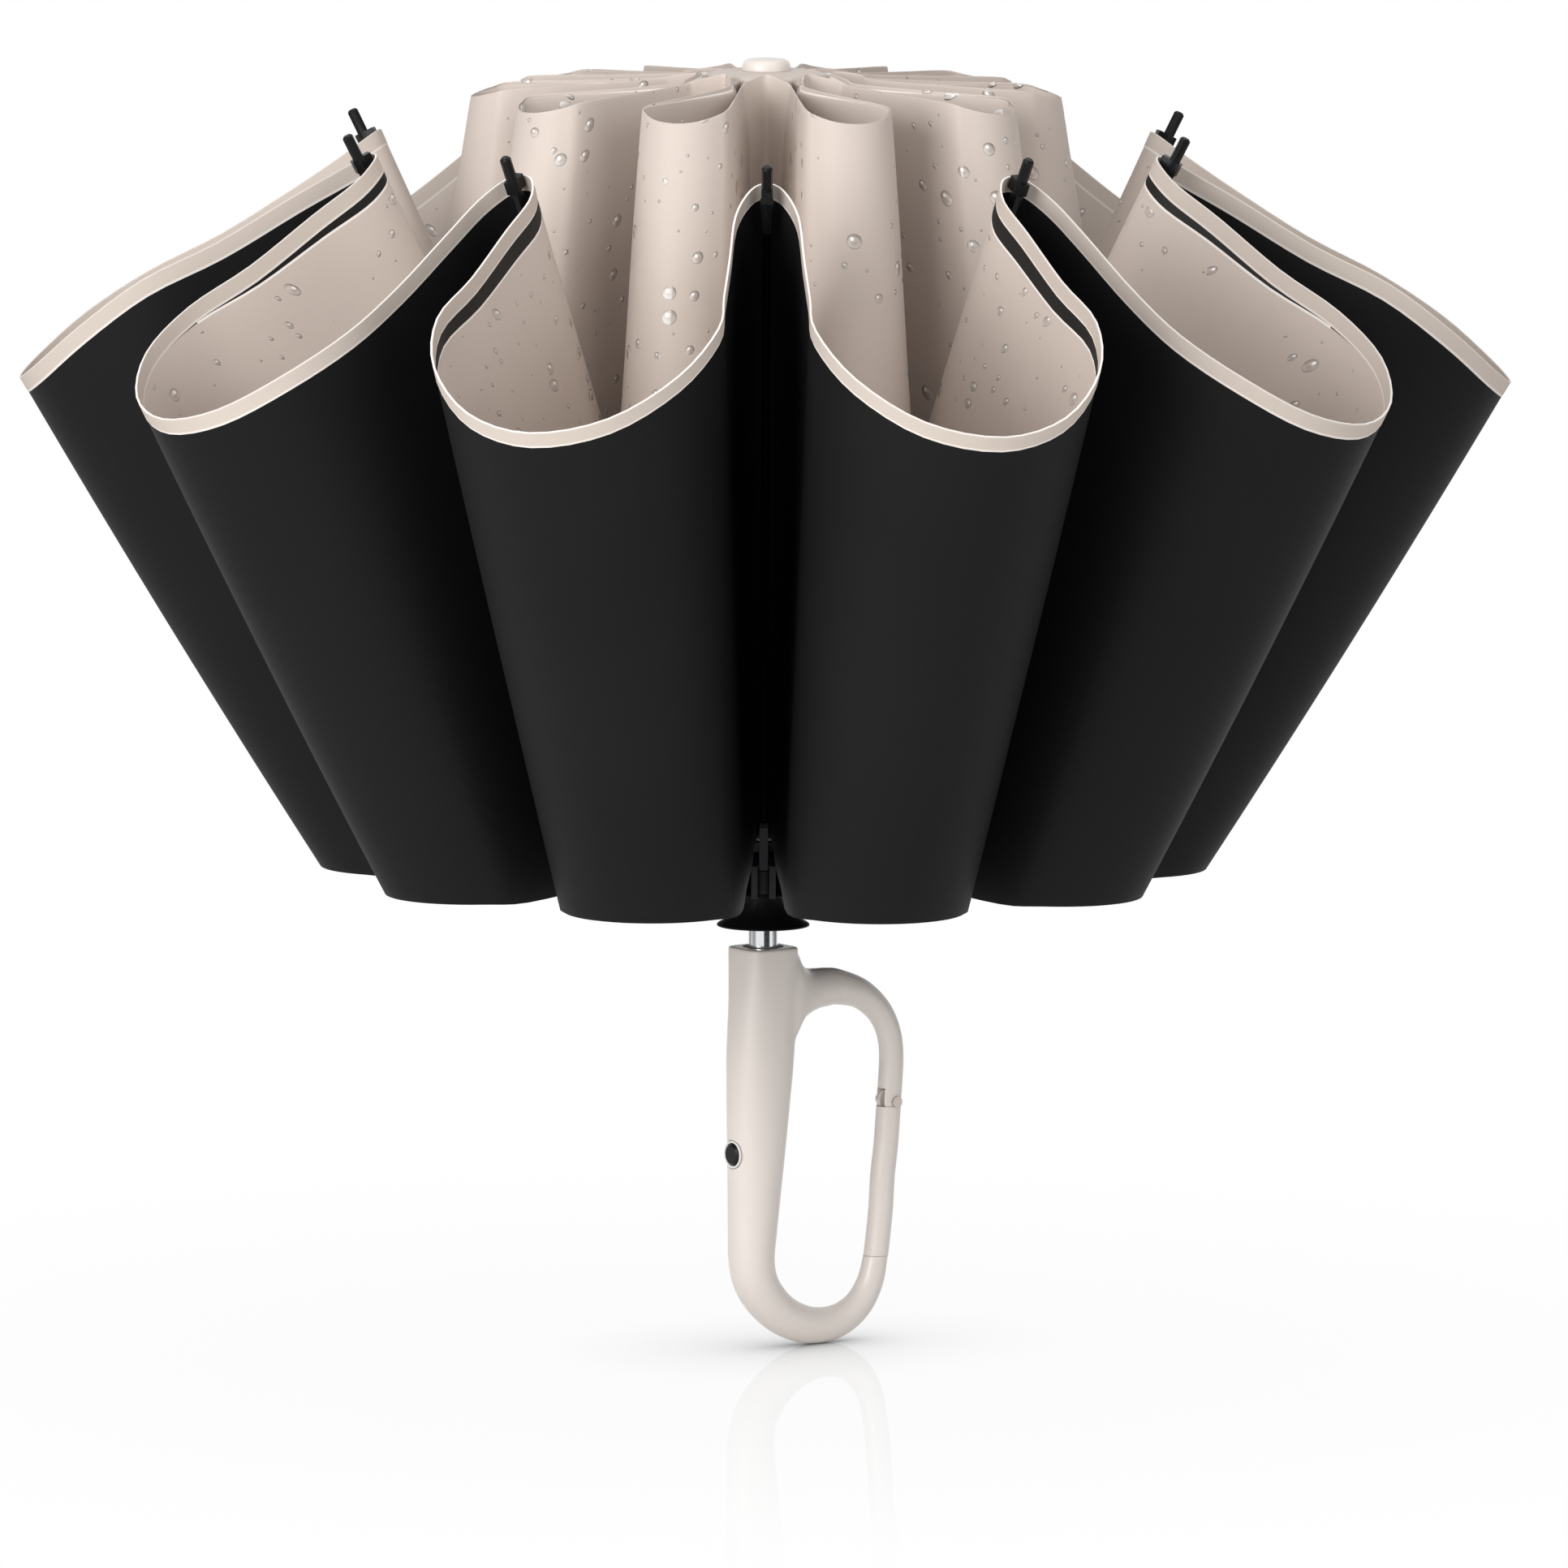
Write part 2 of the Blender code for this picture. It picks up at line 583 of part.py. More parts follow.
def coil(name, centre, axis, radius, wire, length, turns):
    # An unbroken helix of round wire that starts at the centre point.
    curve = bpy.data.curves.new(name, "CURVE")
    curve.dimensions = "3D"
    curve.bevel_depth = wire
    curve.bevel_resolution = 1
    curve.use_fill_caps = True
    count = turns * COIL_POINTS + 1
    line = curve.splines.new("POLY")
    line.points.add(count - 1)
    aim = Vector(axis).to_track_quat("Z", "Y").to_matrix()
    for index in range(count):
        angle = 2 * math.pi * index / COIL_POINTS
        rise = length * index / (count - 1)
        spot = Vector((radius * math.cos(angle), radius * math.sin(angle), rise))
        line.points[index].co = (*(Vector(centre) + aim @ spot), 1)
    thing = bpy.data.objects.new(name, curve)
    cutters.objects.link(thing)
    print(f"{name}: gap between turns {length / turns - 2 * wire:.5f} m")
    return welded(evaluated_mesh(thing, name), name, MERGE_DISTANCE)


def link_outline(start, end, start_eye, end_eye, half_depth):
    # A flat bar with a round eye at each end, in the plane of the rib.
    reach = Vector((end[0] - start[0], end[1] - start[1]))
    turn = math.atan2(reach.y, reach.x)
    near = math.asin(half_depth / start_eye)
    far = math.pi - math.asin(half_depth / end_eye)
    outline = []
    for step in range(ARC_POINTS + 1):
        angle = near + (2 * math.pi - 2 * near) * step / ARC_POINTS + turn
        outline.append((start_eye * math.cos(angle), start_eye * math.sin(angle)))
    for step in range(ARC_POINTS + 1):
        angle = -far + 2 * far * step / ARC_POINTS + turn
        x = reach.x + end_eye * math.cos(angle)
        outline.append((x, reach.y + end_eye * math.sin(angle)))
    return outline


def between(start, end):
    return end[0] - start[0], end[1] - start[1]


def rib_turns():
    first, step = FIRST_RIB_DEGREES, RIB_STEP_DEGREES
    return [math.radians(first + index * step) for index in range(RIB_COUNT)]


def place_around(stem, mesh, material, pivot, parents=None):
    made = []
    for index, turn in enumerate(rib_turns()):
        spot = (pivot[0] * math.cos(turn), pivot[0] * math.sin(turn), pivot[1])
        parent = parents[index] if parents else None
        made.append(
            add_part(f"{stem}_{index + 1:02d}", mesh, material, spot, turn, parent)
        )
    return made


def placed(shares):
    return [(RING_REACH * x, HANDLE_LENGTH * z) for x, z in shares]


def swell(low, high, share):
    return low + (high - low) * share


def grip_sizes(mouth, widest, shares):
    sizes = [swell(mouth, widest, share) for share in shares[:WIDEST]]
    return sizes + [swell(LEG_RADIUS, widest, share) for share in shares[WIDEST:]]


def grip_side_x():
    # Where the grip's surface is at the button, on the side away from the ring.
    half = grip_sizes(MOUTH_HALF_WIDTH, GRIP_HALF_WIDTH, GRIP_WIDTH_SHARES)
    return RING_REACH * GRIP_CENTRE_SHARES[BUTTON_STATION][0] - half[BUTTON_STATION]


def make_handle():
    body = add_part(
        "handle_body",
        loft(
            "handle_body",
            placed(GRIP_CENTRE_SHARES),
            grip_sizes(MOUTH_HALF_WIDTH, GRIP_HALF_WIDTH, GRIP_WIDTH_SHARES),
            grip_sizes(MOUTH_HALF_DEPTH, GRIP_HALF_DEPTH, GRIP_DEPTH_SHARES),
            GRIP_CORNER_SHARES,
            level_end=True,
        ),
        beige_plastic,
    )
    arm = loft(
        "arm",
        placed(ARM_CENTRE_SHARES),
        [swell(LEG_RADIUS, ARM_ROOT_HALF_WIDTH, share) for share in ARM_WIDTH_SHARES],
        [swell(LEG_RADIUS, ARM_ROOT_HALF_DEPTH, share) for share in ARM_DEPTH_SHARES],
        (0.0,) * len(ARM_CENTRE_SHARES),
    )
    combine(body, add_cutter("arm", arm), "UNION")
    x, z = GATE_PIVOT_X, GATE_PIVOT_Z
    deep = LEG_RADIUS
    knuckle = rod("knuckle", LEG_RADIUS, (x, -deep, z), (x, deep, z), GRIP_SIDES)
    combine(body, add_cutter("knuckle", knuckle), "UNION")
    wide = SLOT_HALF_WIDTH
    slot = box(
        "gate_slot",
        (x - SLOT_SIDE, -wide, z - LEG_RADIUS - CUT_OVERRUN),
        (x + SLOT_SIDE, wide, z + SLOT_TOP),
    )
    combine(body, add_cutter("gate_slot", slot), "DIFFERENCE")
    out = deep + CUT_OVERRUN
    hole = rod("pin_hole", PIN_RADIUS + PIN_GAP, (x, -out, z), (x, out, z))
    combine(body, add_cutter("pin_hole", hole), "DIFFERENCE")
    bush_bore = BUSH_RADIUS + FIT_GAP
    top = HANDLE_LENGTH + CUT_OVERRUN
    bore = lathe(
        "shaft_bore",
        (
            (0, top),
            (bush_bore, top),
            (bush_bore, BUSH_BOTTOM - FIT_GAP),
            (SHAFT_BORE, BUSH_BOTTOM - FIT_GAP),
            (SHAFT_BORE, LOWER_TUBE_BOTTOM - FIT_GAP),
            (0, LOWER_TUBE_BOTTOM - FIT_GAP),
        ),
    )
    combine(body, add_cutter("shaft_bore", bore), "DIFFERENCE")
    side = grip_side_x()
    start = side - BUTTON_PROUD - CUT_OVERRUN
    end = side - BUTTON_PROUD + BUTTON_LENGTH + BUTTON_SPRING_ROOM
    pocket = rod("button_bore", BUTTON_BORE, (start, 0, BUTTON_Z), (end, 0, BUTTON_Z))
    combine(body, add_cutter("button_bore", pocket), "DIFFERENCE")
    end = side + RING_SEAT_DEPTH
    seat = rod("ring_seat", RING_SEAT_RADIUS, (start, 0, BUTTON_Z), (end, 0, BUTTON_Z))
    combine(body, add_cutter("ring_seat", seat), "DIFFERENCE")
    bush = lathe(
        "shaft_bush",
        (
            (BUSH_RADIUS, BUSH_TOP),
            (BUSH_RADIUS, BUSH_BOTTOM),
            (SHAFT_BORE, BUSH_BOTTOM),
            (SHAFT_BORE, BUSH_TOP),
        ),
    )
    add_part("shaft_bush", bush, dark_plastic)


def make_gate():
    x, z = GATE_PIVOT_X, GATE_PIVOT_Z
    joint = add_joint("gate_hinge", (x, 0, z))
    top = (GATE_TOP_X, z - GATE_SHOULDER)
    bottom = (GATE_BOTTOM_X, HANDLE_LENGTH * GRIP_CENTRE_SHARES[-1][1] + BUTT_GAP)
    centres = (top, *placed(GATE_CENTRE_SHARES), bottom)
    radii = (LEG_RADIUS,) * len(centres)
    shares = (0.0,) * len(centres)
    mesh = loft("gate", centres, radii, radii, shares, level_end=True)
    gate = add_part("gate", mesh, beige_plastic, parent=joint)
    neck = box(
        "tongue_neck",
        (x - TONGUE_HALF_NECK, TONGUE_NEAR, z - GATE_SHOULDER - TONGUE_ROOT),
        (x + TONGUE_HALF_NECK, TONGUE_FAR, z),
    )
    combine(gate, add_cutter("tongue_neck", neck), "UNION")
    eye = rod(
        "tongue_eye", TONGUE_RADIUS, (x, TONGUE_NEAR, z), (x, TONGUE_FAR, z), GRIP_SIDES
    )
    combine(gate, add_cutter("tongue_eye", eye), "UNION")
    wide = SLOT_HALF_WIDTH
    hole = rod("tongue_hole", PIN_RADIUS + PIN_GAP, (x, -wide, z), (x, wide, z))
    combine(gate, add_cutter("tongue_hole", hole), "DIFFERENCE")
    half = LEG_RADIUS + FIT_GAP
    end = half + PIN_HEAD_HEIGHT
    pin = headed_pin("gate_pin", PIN_RADIUS, -half, half, PIN_HEAD_RADIUS, -end, end)
    add_part("gate_pin", pin, steel, (x, 0, z))
    start = -SLOT_HALF_WIDTH + GATE_SPRING_WIRE + CUT_EDGE
    end = TONGUE_NEAR - GATE_SPRING_WIRE - FIT_GAP
    spring = coil(
        "gate_spring",
        (x, start, z),
        (0, 1, 0),
        GATE_SPRING_RADIUS,
        GATE_SPRING_WIRE,
        end - start,
        GATE_SPRING_TURNS,
    )
    add_part("gate_spring", spring, steel)


def make_button():
    side = grip_side_x()
    tip = side - BUTTON_PROUD
    back = tip + BUTTON_LENGTH
    joint = add_joint("button_slide", (tip, 0, BUTTON_Z))
    across = Matrix.Translation((0, 0, BUTTON_Z)) @ Matrix.Rotation(-math.pi / 2, 4, "Y")
    button = lathe(
        "release_button",
        (
            (0, -tip),
            (BUTTON_TIP_RADIUS, -tip),
            (BUTTON_RADIUS, -tip - BUTTON_DOME),
            (BUTTON_RADIUS, -back),
            (0, -back),
        ),
    )
    button.transform(across)
    add_part("release_button", button, dark_plastic, parent=joint)
    low = -side - RING_SEAT_DEPTH + FIT_GAP
    high = low + RING_THICKNESS
    ring = lathe(
        "button_ring",
        (
            (RING_OUTER_RADIUS, high),
            (RING_OUTER_RADIUS, low),
            (RING_INNER_RADIUS, low),
            (RING_INNER_RADIUS, high),
        ),
    )
    ring.transform(across)
    add_part("button_ring", ring, pale_ring)
    start = back + FIT_GAP + BUTTON_SPRING_WIRE
    end = back + BUTTON_SPRING_ROOM - FIT_GAP - BUTTON_SPRING_WIRE
    spring = coil(
        "button_spring",
        (start, 0, BUTTON_Z),
        (1, 0, 0),
        BUTTON_SPRING_RADIUS,
        BUTTON_SPRING_WIRE,
        end - start,
        BUTTON_SPRING_TURNS,
    )
    add_part("button_spring", spring, steel)


def make_shaft():
    wall = TUBE_WALL
    sizes = (
        ("lower_tube", LOWER_TUBE_RADIUS, LOWER_TUBE_BOTTOM, LOWER_TUBE_TOP),
        ("middle_tube", MIDDLE_TUBE_RADIUS, MIDDLE_TUBE_BOTTOM, MIDDLE_TUBE_TOP),
        ("upper_tube", UPPER_TUBE_RADIUS, UPPER_TUBE_BOTTOM, UPPER_TUBE_TOP),
    )
    for name, radius, bottom, top in sizes:
        add_part(name, tube(name, radius, wall, bottom, top), steel)
    spring = coil(
        "drive_spring",
        (0, 0, DRIVE_SPRING_BOTTOM),
        (0, 0, 1),
        DRIVE_SPRING_RADIUS,
        DRIVE_SPRING_WIRE,
        DRIVE_SPRING_TOP - DRIVE_SPRING_BOTTOM,
        DRIVE_SPRING_TURNS,
    )
    add_part("drive_spring", spring, dark_steel)


def link_slots(name, radius, outer, bottom, top, side):
    # Slots about the shaft, each offset to one side of the rib's plane.
    middle = side * (LINK_NEAR + LINK_FAR) / 2
    half = LINK_SLOT_WIDTH / 2
    one = box(
        name,
        (radius - LINK_SLOT_DEPTH, middle - half, bottom - CUT_OVERRUN),
        (outer + CUT_OVERRUN, middle + half, top + CUT_OVERRUN),
    )
    return around(name, one, RIB_COUNT, FIRST_RIB_DEGREES)


def make_top():
    radius, height = TOP_PIVOT
    floor = radius - GROOVE_DEPTH
    high, low = height + GROOVE_HALF_WIDTH, height - GROOVE_HALF_WIDTH
    inner = UPPER_TUBE_RADIUS + FIT_GAP
    notch = add_part(
        "top_notch",
        lathe(
            "top_notch",
            (
                (inner, NOTCH_TOP),
                (NOTCH_RADIUS, NOTCH_TOP),
                (NOTCH_RADIUS, high),
                (floor, high),
                (floor, low),
                (NOTCH_RADIUS, low),
                (NOTCH_RADIUS, NOTCH_BOTTOM),
                (inner, NOTCH_BOTTOM),
            ),
            RIB_COUNT * 3,
        ),
        dark_plastic,
    )
    slots = link_slots(
        "notch_slots", radius, NOTCH_RADIUS, NOTCH_BOTTOM, height + LINK_EYE, -1
    )
    combine(notch, add_cutter("notch_slots", slots), "DIFFERENCE")
    add_wire("notch_wire", radius, height)
    cap = lathe(
        "crown_cap",
        (
            (0, CAP_TOP),
            (CAP_RADIUS - CAP_EDGE, CAP_TOP),
            (CAP_RADIUS, CAP_TOP - CAP_EDGE),
            (CAP_RADIUS, CAP_BOTTOM),
            (STEM_RADIUS, CAP_BOTTOM),
            (STEM_RADIUS, STEM_BOTTOM),
            (0, STEM_BOTTOM),
        ),
    )
    add_part("crown_cap", cap, beige_plastic)


def add_wire(name, radius, height, parent=None):
    bpy.ops.mesh.primitive_torus_add(
        major_radius=radius,
        minor_radius=WIRE_RADIUS,
        major_segments=RIB_COUNT * 2,
        minor_segments=THIN_SIDES - 2,
        location=(0, 0, height),
    )
    wire = bpy.context.object
    mesh = wire.data
    bpy.data.objects.remove(wire, do_unlink=True)
    return add_part(name, mesh, steel, (0, 0, height), parent=parent)


def cup_spot(out_share, up_share):
    radius = CUP_NECK + (CUP_RADIUS - CUP_NECK) * out_share
    return radius, CUP_BOTTOM + CUP_HEIGHT * up_share


def make_runner(joint):
    inner = SHAFT_BORE
    radius, height = STRETCHER_PIVOT
    floor = radius - GROOVE_DEPTH
    high, low = height + GROOVE_HALF_WIDTH, height - GROOVE_HALF_WIDTH
    runner = add_part(
        "runner",
        lathe(
            "runner",
            (
                (inner, RUNNER_TOP),
                (COLLAR_RADIUS, RUNNER_TOP),
                (COLLAR_RADIUS, high),
                (floor, high),
                (floor, low),
                (COLLAR_RADIUS, low),
                (COLLAR_RADIUS, HUB_TOP),
                (HUB_RADIUS, HUB_TOP - HUB_EDGE / 2),
                (HUB_RADIUS, CHEEK_BOTTOM + HUB_EDGE),
                (COLLAR_RADIUS, RUNNER_BOTTOM),
                (inner, RUNNER_BOTTOM),
            ),
            RIB_COUNT * 3,
        ),
        dark_plastic,
        parent=joint,
    )
    outline = (
        (HUB_RADIUS - CHEEK_ROOT, CHEEK_BOTTOM),
        (CHEEK_OUTER - CHEEK_ROUND, CHEEK_BOTTOM),
        (CHEEK_OUTER, CHEEK_BOTTOM + CHEEK_HEEL_RISE),
        (CHEEK_OUTER, CHEEK_TOP - CHEEK_ROUND),
        (CHEEK_OUTER - CHEEK_ROUND, CHEEK_TOP),
        (HUB_RADIUS - CHEEK_ROOT, CHEEK_TOP),
    )
    near, far = CHEEK_HALF_GAP, CHEEK_HALF_GAP + CHEEK_THICKNESS
    pair = joined(
        "cheeks",
        (plate("cheek", outline, near, far), plate("cheek", outline, -far, -near)),
    )
    cheeks = around("cheeks", pair, RIB_COUNT, FIRST_RIB_DEGREES)
    combine(runner, add_cutter("cheeks", cheeks), "UNION", own_overlaps=True)
    reach = far + CUT_OVERRUN
    x, z = RIB_PIVOT
    hole = rod("rivet_hole", RIVET_HOLE, (x, -reach, z), (x, reach, z), THIN_SIDES)
    holes = around("rivet_holes", hole, RIB_COUNT, FIRST_RIB_DEGREES)
    combine(runner, add_cutter("rivet_holes", holes), "DIFFERENCE", own_overlaps=True)
    eye = LEVER_EYE + FIT_GAP
    room = box(
        "lever_room",
        (x - eye, -LEVER_ROOM, CHEEK_BOTTOM - CUT_OVERRUN),
        (CHEEK_OUTER + CUT_OVERRUN, LEVER_ROOM, CHEEK_TOP + CUT_OVERRUN),
    )
    rooms = around("lever_rooms", room, RIB_COUNT, FIRST_RIB_DEGREES)
    combine(runner, add_cutter("lever_rooms", rooms), "DIFFERENCE")
    slots = link_slots(
        "runner_slots", radius, COLLAR_RADIUS, height - LINK_EYE, RUNNER_TOP, 1
    )
    combine(runner, add_cutter("runner_slots", slots), "DIFFERENCE")
    add_wire("runner_wire", radius, height, joint)
    outer_side = [cup_spot(*shares) for shares in CUP_OUTER_SHARES]
    inner_side = [cup_spot(*shares) for shares in CUP_INNER_SHARES]
    seat = inner_side[-1][1]
    outline = ((inner, CUP_TOP), *outer_side, *inner_side, (inner, seat))
    add_part("runner_cup", lathe("runner_cup", outline), dark_plastic, parent=joint)
    stop_top = seat - FIT_GAP
    stop = lathe(
        "runner_stop",
        (
            (SHAFT_BORE + STOP_WALL, stop_top),
            (SHAFT_BORE + STOP_WALL, stop_top - STOP_HEIGHT),
            (SHAFT_BORE, stop_top - STOP_HEIGHT),
            (SHAFT_BORE, stop_top),
        ),
    )
    add_part("runner_stop", stop, steel)


def make_links(joint):
    # Main ribs hang from the top notch, and stretchers stand on the runner.
    reach = between(TOP_PIVOT, ELBOW)
    outline = link_outline(TOP_PIVOT, ELBOW, LINK_EYE, ELBOW_EYE, LINK_HALF_DEPTH)
    bar = add_cutter("bar", plate("bar", outline, -LINK_FAR, -LINK_NEAR))
    wide = LINK_FAR + CUT_OVERRUN
    for name, radius, spot in (
        ("wire_hole", WIRE_HOLE, (0, 0)),
        ("elbow_hole", ELBOW_HOLE, reach),
    ):
        hole = rod(
            name, radius, (spot[0], -wide, spot[1]), (spot[0], wide, spot[1]), THIN_SIDES
        )
        combine(bar, add_cutter(name, hole), "DIFFERENCE")
    main_rib = baked(bar, "main_rib")
    place_around("main_rib", main_rib, dark_steel, TOP_PIVOT)

    reach = between(STRETCHER_PIVOT, ELBOW)
    outline = link_outline(STRETCHER_PIVOT, ELBOW, LINK_EYE, ELBOW_EYE, LINK_HALF_DEPTH)
    bar = add_cutter("bar", plate("bar", outline, LINK_NEAR, LINK_FAR))
    hole = rod("wire_hole", WIRE_HOLE, (0, -wide, 0), (0, wide, 0), THIN_SIDES)
    combine(bar, add_cutter("wire_hole", hole), "DIFFERENCE")
    end = LINK_FAR / 2
    rivet = headed_pin(
        "rivet",
        ELBOW_RIVET,
        -ELBOW_HEAD_NEAR,
        end,
        ELBOW_HEAD,
        -ELBOW_HEAD_FAR,
        end,
        THIN_SIDES,
    )
    combine(bar, add_cutter("rivet", rivet, (reach[0], 0, reach[1])), "UNION")
    stretcher = baked(bar, "stretcher")
    parents = [joint] * RIB_COUNT
    place_around("stretcher", stretcher, dark_steel, STRETCHER_PIVOT, parents)


def rib_directions():
    # Along the outer rib towards its tip, and square to it towards the shaft.
    lean = math.radians(RIB_LEAN_DEGREES)
    along = Vector((math.sin(lean), 0, math.cos(lean)))
    return along, Vector((-along.z, 0, along.x))


def rib_spot(distance, offset):
    along, inward = rib_directions()
    spot = along * distance + inward * offset
    return RIB_PIVOT[0] + spot.x, RIB_PIVOT[1] + spot.z


def make_outer_ribs(joint):
    along, inward = rib_directions()
    length = OUTER_RIB_LENGTH
    lever_end = along * LEVER_LENGTH
    outline = link_outline(
        (0, 0), (lever_end.x, lever_end.z), LEVER_EYE, LEVER_EYE, LEVER_HALF_DEPTH
    )
    wide = LEVER_HALF_WIDTH
    lever = add_cutter("lever", plate("lever", outline, -wide, wide))
    long_rod = rod(
        "rod",
        ROD_RADIUS,
        along * ROD_START,
        along * (length - ROD_SHORT_OF_END),
        THIN_SIDES,
    )
    combine(lever, add_cutter("rod", long_rod), "UNION")
    half = RIVET_HALF_LENGTH
    end = half + RIVET_HEAD_HEIGHT
    rivet = headed_pin(
        "rivet", RIVET_RADIUS, -half, half, RIVET_HEAD, -end, end, THIN_SIDES
    )
    combine(lever, add_cutter("rivet", rivet), "UNION")
    outer_rib = baked(lever, "outer_rib")
    placed = place_around(
        "outer_rib", outer_rib, dark_steel, RIB_PIVOT, [joint] * RIB_COUNT
    )

    sleeve_low = length - SLEEVE_BOTTOM_SHORT
    sleeve_high = length - SLEEVE_TOP_SHORT
    tip = add_cutter(
        "tip",
        lathe(
            "tip",
            (
                (0, length),
                (TIP_RADIUS - TIP_ROUNDING, length),
                (TIP_RADIUS, length - TIP_ROUNDING),
                (TIP_RADIUS, sleeve_high),
                (SLEEVE_RADIUS, sleeve_high),
                (SLEEVE_RADIUS, sleeve_low),
                (0, sleeve_low),
            ),
            THIN_SIDES,
        ),
    )
    hook = box(
        "hook",
        (-HOOK_REACH, -HOOK_HALF_WIDTH, length - HOOK_BOTTOM_SHORT),
        (HOOK_HEEL, HOOK_HALF_WIDTH, length - HOOK_TOP_SHORT),
    )
    combine(tip, add_cutter("hook", hook), "UNION")
    bore = rod(
        "tip_bore",
        ROD_RADIUS + FIT_GAP,
        (0, 0, sleeve_low - CUT_OVERRUN),
        (0, 0, length - ROD_SHORT_OF_END + FIT_GAP),
        THIN_SIDES,
    )
    combine(tip, add_cutter("tip_bore", bore), "DIFFERENCE")
    mesh = baked(tip, "rib_tip")
    lean = Matrix((-inward, (0, 1, 0), along)).transposed().to_4x4()
    mesh.transform(lean)
    for index, (turn, rib) in enumerate(zip(rib_turns(), placed)):
        tip = add_part(f"rib_tip_{index + 1:02d}", mesh, dark_plastic, (0, 0, 0))
        tip.parent = rib


def canopy_levels():
    # Dip, rim, waist, fold and hem: valley, lobe and the lobe's half width.
    drum_side = DRUM_RADIUS + DIP_STEP
    waist_radius = ELBOW[0] + ELBOW_EYE + WAIST_CLEARANCE
    hem_place = OUTER_RIB_LENGTH - HOOK_TOP_SHORT
    hem = rib_spot(hem_place, HEM_OFFSET)
    waist_lobe = swell(RIM_LOBE_RADIUS, FOLD_LOBE_RADIUS, WAIST_SHARE)
    waist_width = swell(RIM_HALF_WIDTH, FOLD_HALF_WIDTH, WAIST_SHARE)
    fold_height = RIB_PIVOT[1] - FOLD_DROP
    return (
        (
            (drum_side, DRUM_HEIGHT - DIP_FALL),
            (DIP_LOBE_RADIUS, DRUM_HEIGHT - DIP_DEPTH),
            DIP_HALF_WIDTH,
        ),
        (
            (DRUM_RADIUS + RIM_STEP, CROWN_HEIGHT + RIM_RISE),
            (RIM_LOBE_RADIUS, CROWN_HEIGHT - RIM_FALL),
            RIM_HALF_WIDTH,
        ),
        ((waist_radius, ELBOW[1]), (waist_lobe, ELBOW[1]), waist_width),
        (
            rib_spot(FOLD_STEP, FOLD_OFFSET),
            (FOLD_LOBE_RADIUS, fold_height),
            FOLD_HALF_WIDTH,
        ),
        (hem, (HEM_LOBE_RADIUS, hem[1] - HEM_DROP), HEM_HALF_WIDTH),
    )


def half_section(index, valley, lobe, width):
    # From the rib line to the middle of the lobe, in the lobe's own frame.
    half_step = math.radians(RIB_STEP_DEGREES / 2)
    reach, rise = valley
    cap = width * LOBE_CAP_SHARES[index]
    flat = VALLEY_HALF_WIDTH * VALLEY_WIDTH_SHARES[index]
    c, s = math.cos(half_step), math.sin(half_step)
    lean = math.sqrt(0.5)
    drop = lobe[1] - rise
    foot = rise + drop * FOOT_DROP_SHARES[index]
    side = rise + drop * SIDE_DROP_SHARES[index]
    shoulder = rise + drop * SHOULDER_DROP_SHARES[index]
    return (
        (reach * c, reach * s, rise),
        (reach * c + flat * s, reach * s - flat * c, foot),
        (lobe[0] - cap, width, side),
        (lobe[0] - cap * (1 - lean), width * lean, shoulder),
        (lobe[0], 0, lobe[1]),
    )


def circle_section(radius, height):
    half_step = math.radians(RIB_STEP_DEGREES / 2)
    points = []
    for step in range(5):
        angle = half_step * (1 - step / 4)
        points.append((radius * math.cos(angle), radius * math.sin(angle), height))
    return points


def make_canopy():
    sections = [
        circle_section(CROWN_RADIUS, CROWN_HEIGHT),
        circle_section(DRUM_RADIUS, DRUM_HEIGHT),
    ]
    for index, level in enumerate(canopy_levels()):
        sections.append(half_section(index, *level))
    bm = bmesh.new()
    rows = []
    for half in sections:
        row = []
        whole = [(x, -y, z) for x, y, z in half] + list(half[-2:0:-1])
        for turn in rib_turns():
            middle = turn + math.radians(RIB_STEP_DEGREES / 2)
            spin = Matrix.Rotation(middle, 3, "Z")
            row += [bm.verts.new(spin @ Vector(spot)) for spot in whole]
        rows.append(row)
    for upper, lower in zip(rows, rows[1:]):
        for step in range(len(upper)):
            after = (step + 1) % len(upper)
            bm.faces.new((upper[step], upper[after], lower[after], lower[step]))
    canopy = add_part("canopy", mesh_of(bm, "canopy"), black_cloth)
    wall = canopy.modifiers.new("thickness", "SOLIDIFY")
    wall.thickness = CLOTH_THICKNESS
    wall.offset = 0.0


parts, cutters = start_scene()
beige_plastic = make_material("beige_plastic", BEIGE, 0.45)
dark_plastic = make_material("dark_plastic", DARK_PLASTIC, 0.40)
black_cloth = make_material("black_cloth", BLACK, 0.85)
steel = make_material("steel", STEEL, 0.18, 1.0)
dark_steel = make_material("dark_steel", DARK_STEEL, 0.40, 0.6)
pale_ring = make_material("pale_ring", PALE_RING, 0.35)
make_handle()
make_gate()
make_button()
make_shaft()
make_top()
runner_slide = add_joint("runner_slide", (0, 0, RUNNER_BOTTOM))
make_runner(runner_slide)
make_links(runner_slide)
make_outer_ribs(runner_slide)
make_canopy()
bpy.context.view_layer.update()
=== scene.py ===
import math

import bpy
import numpy as np
from mathutils import Matrix, Vector


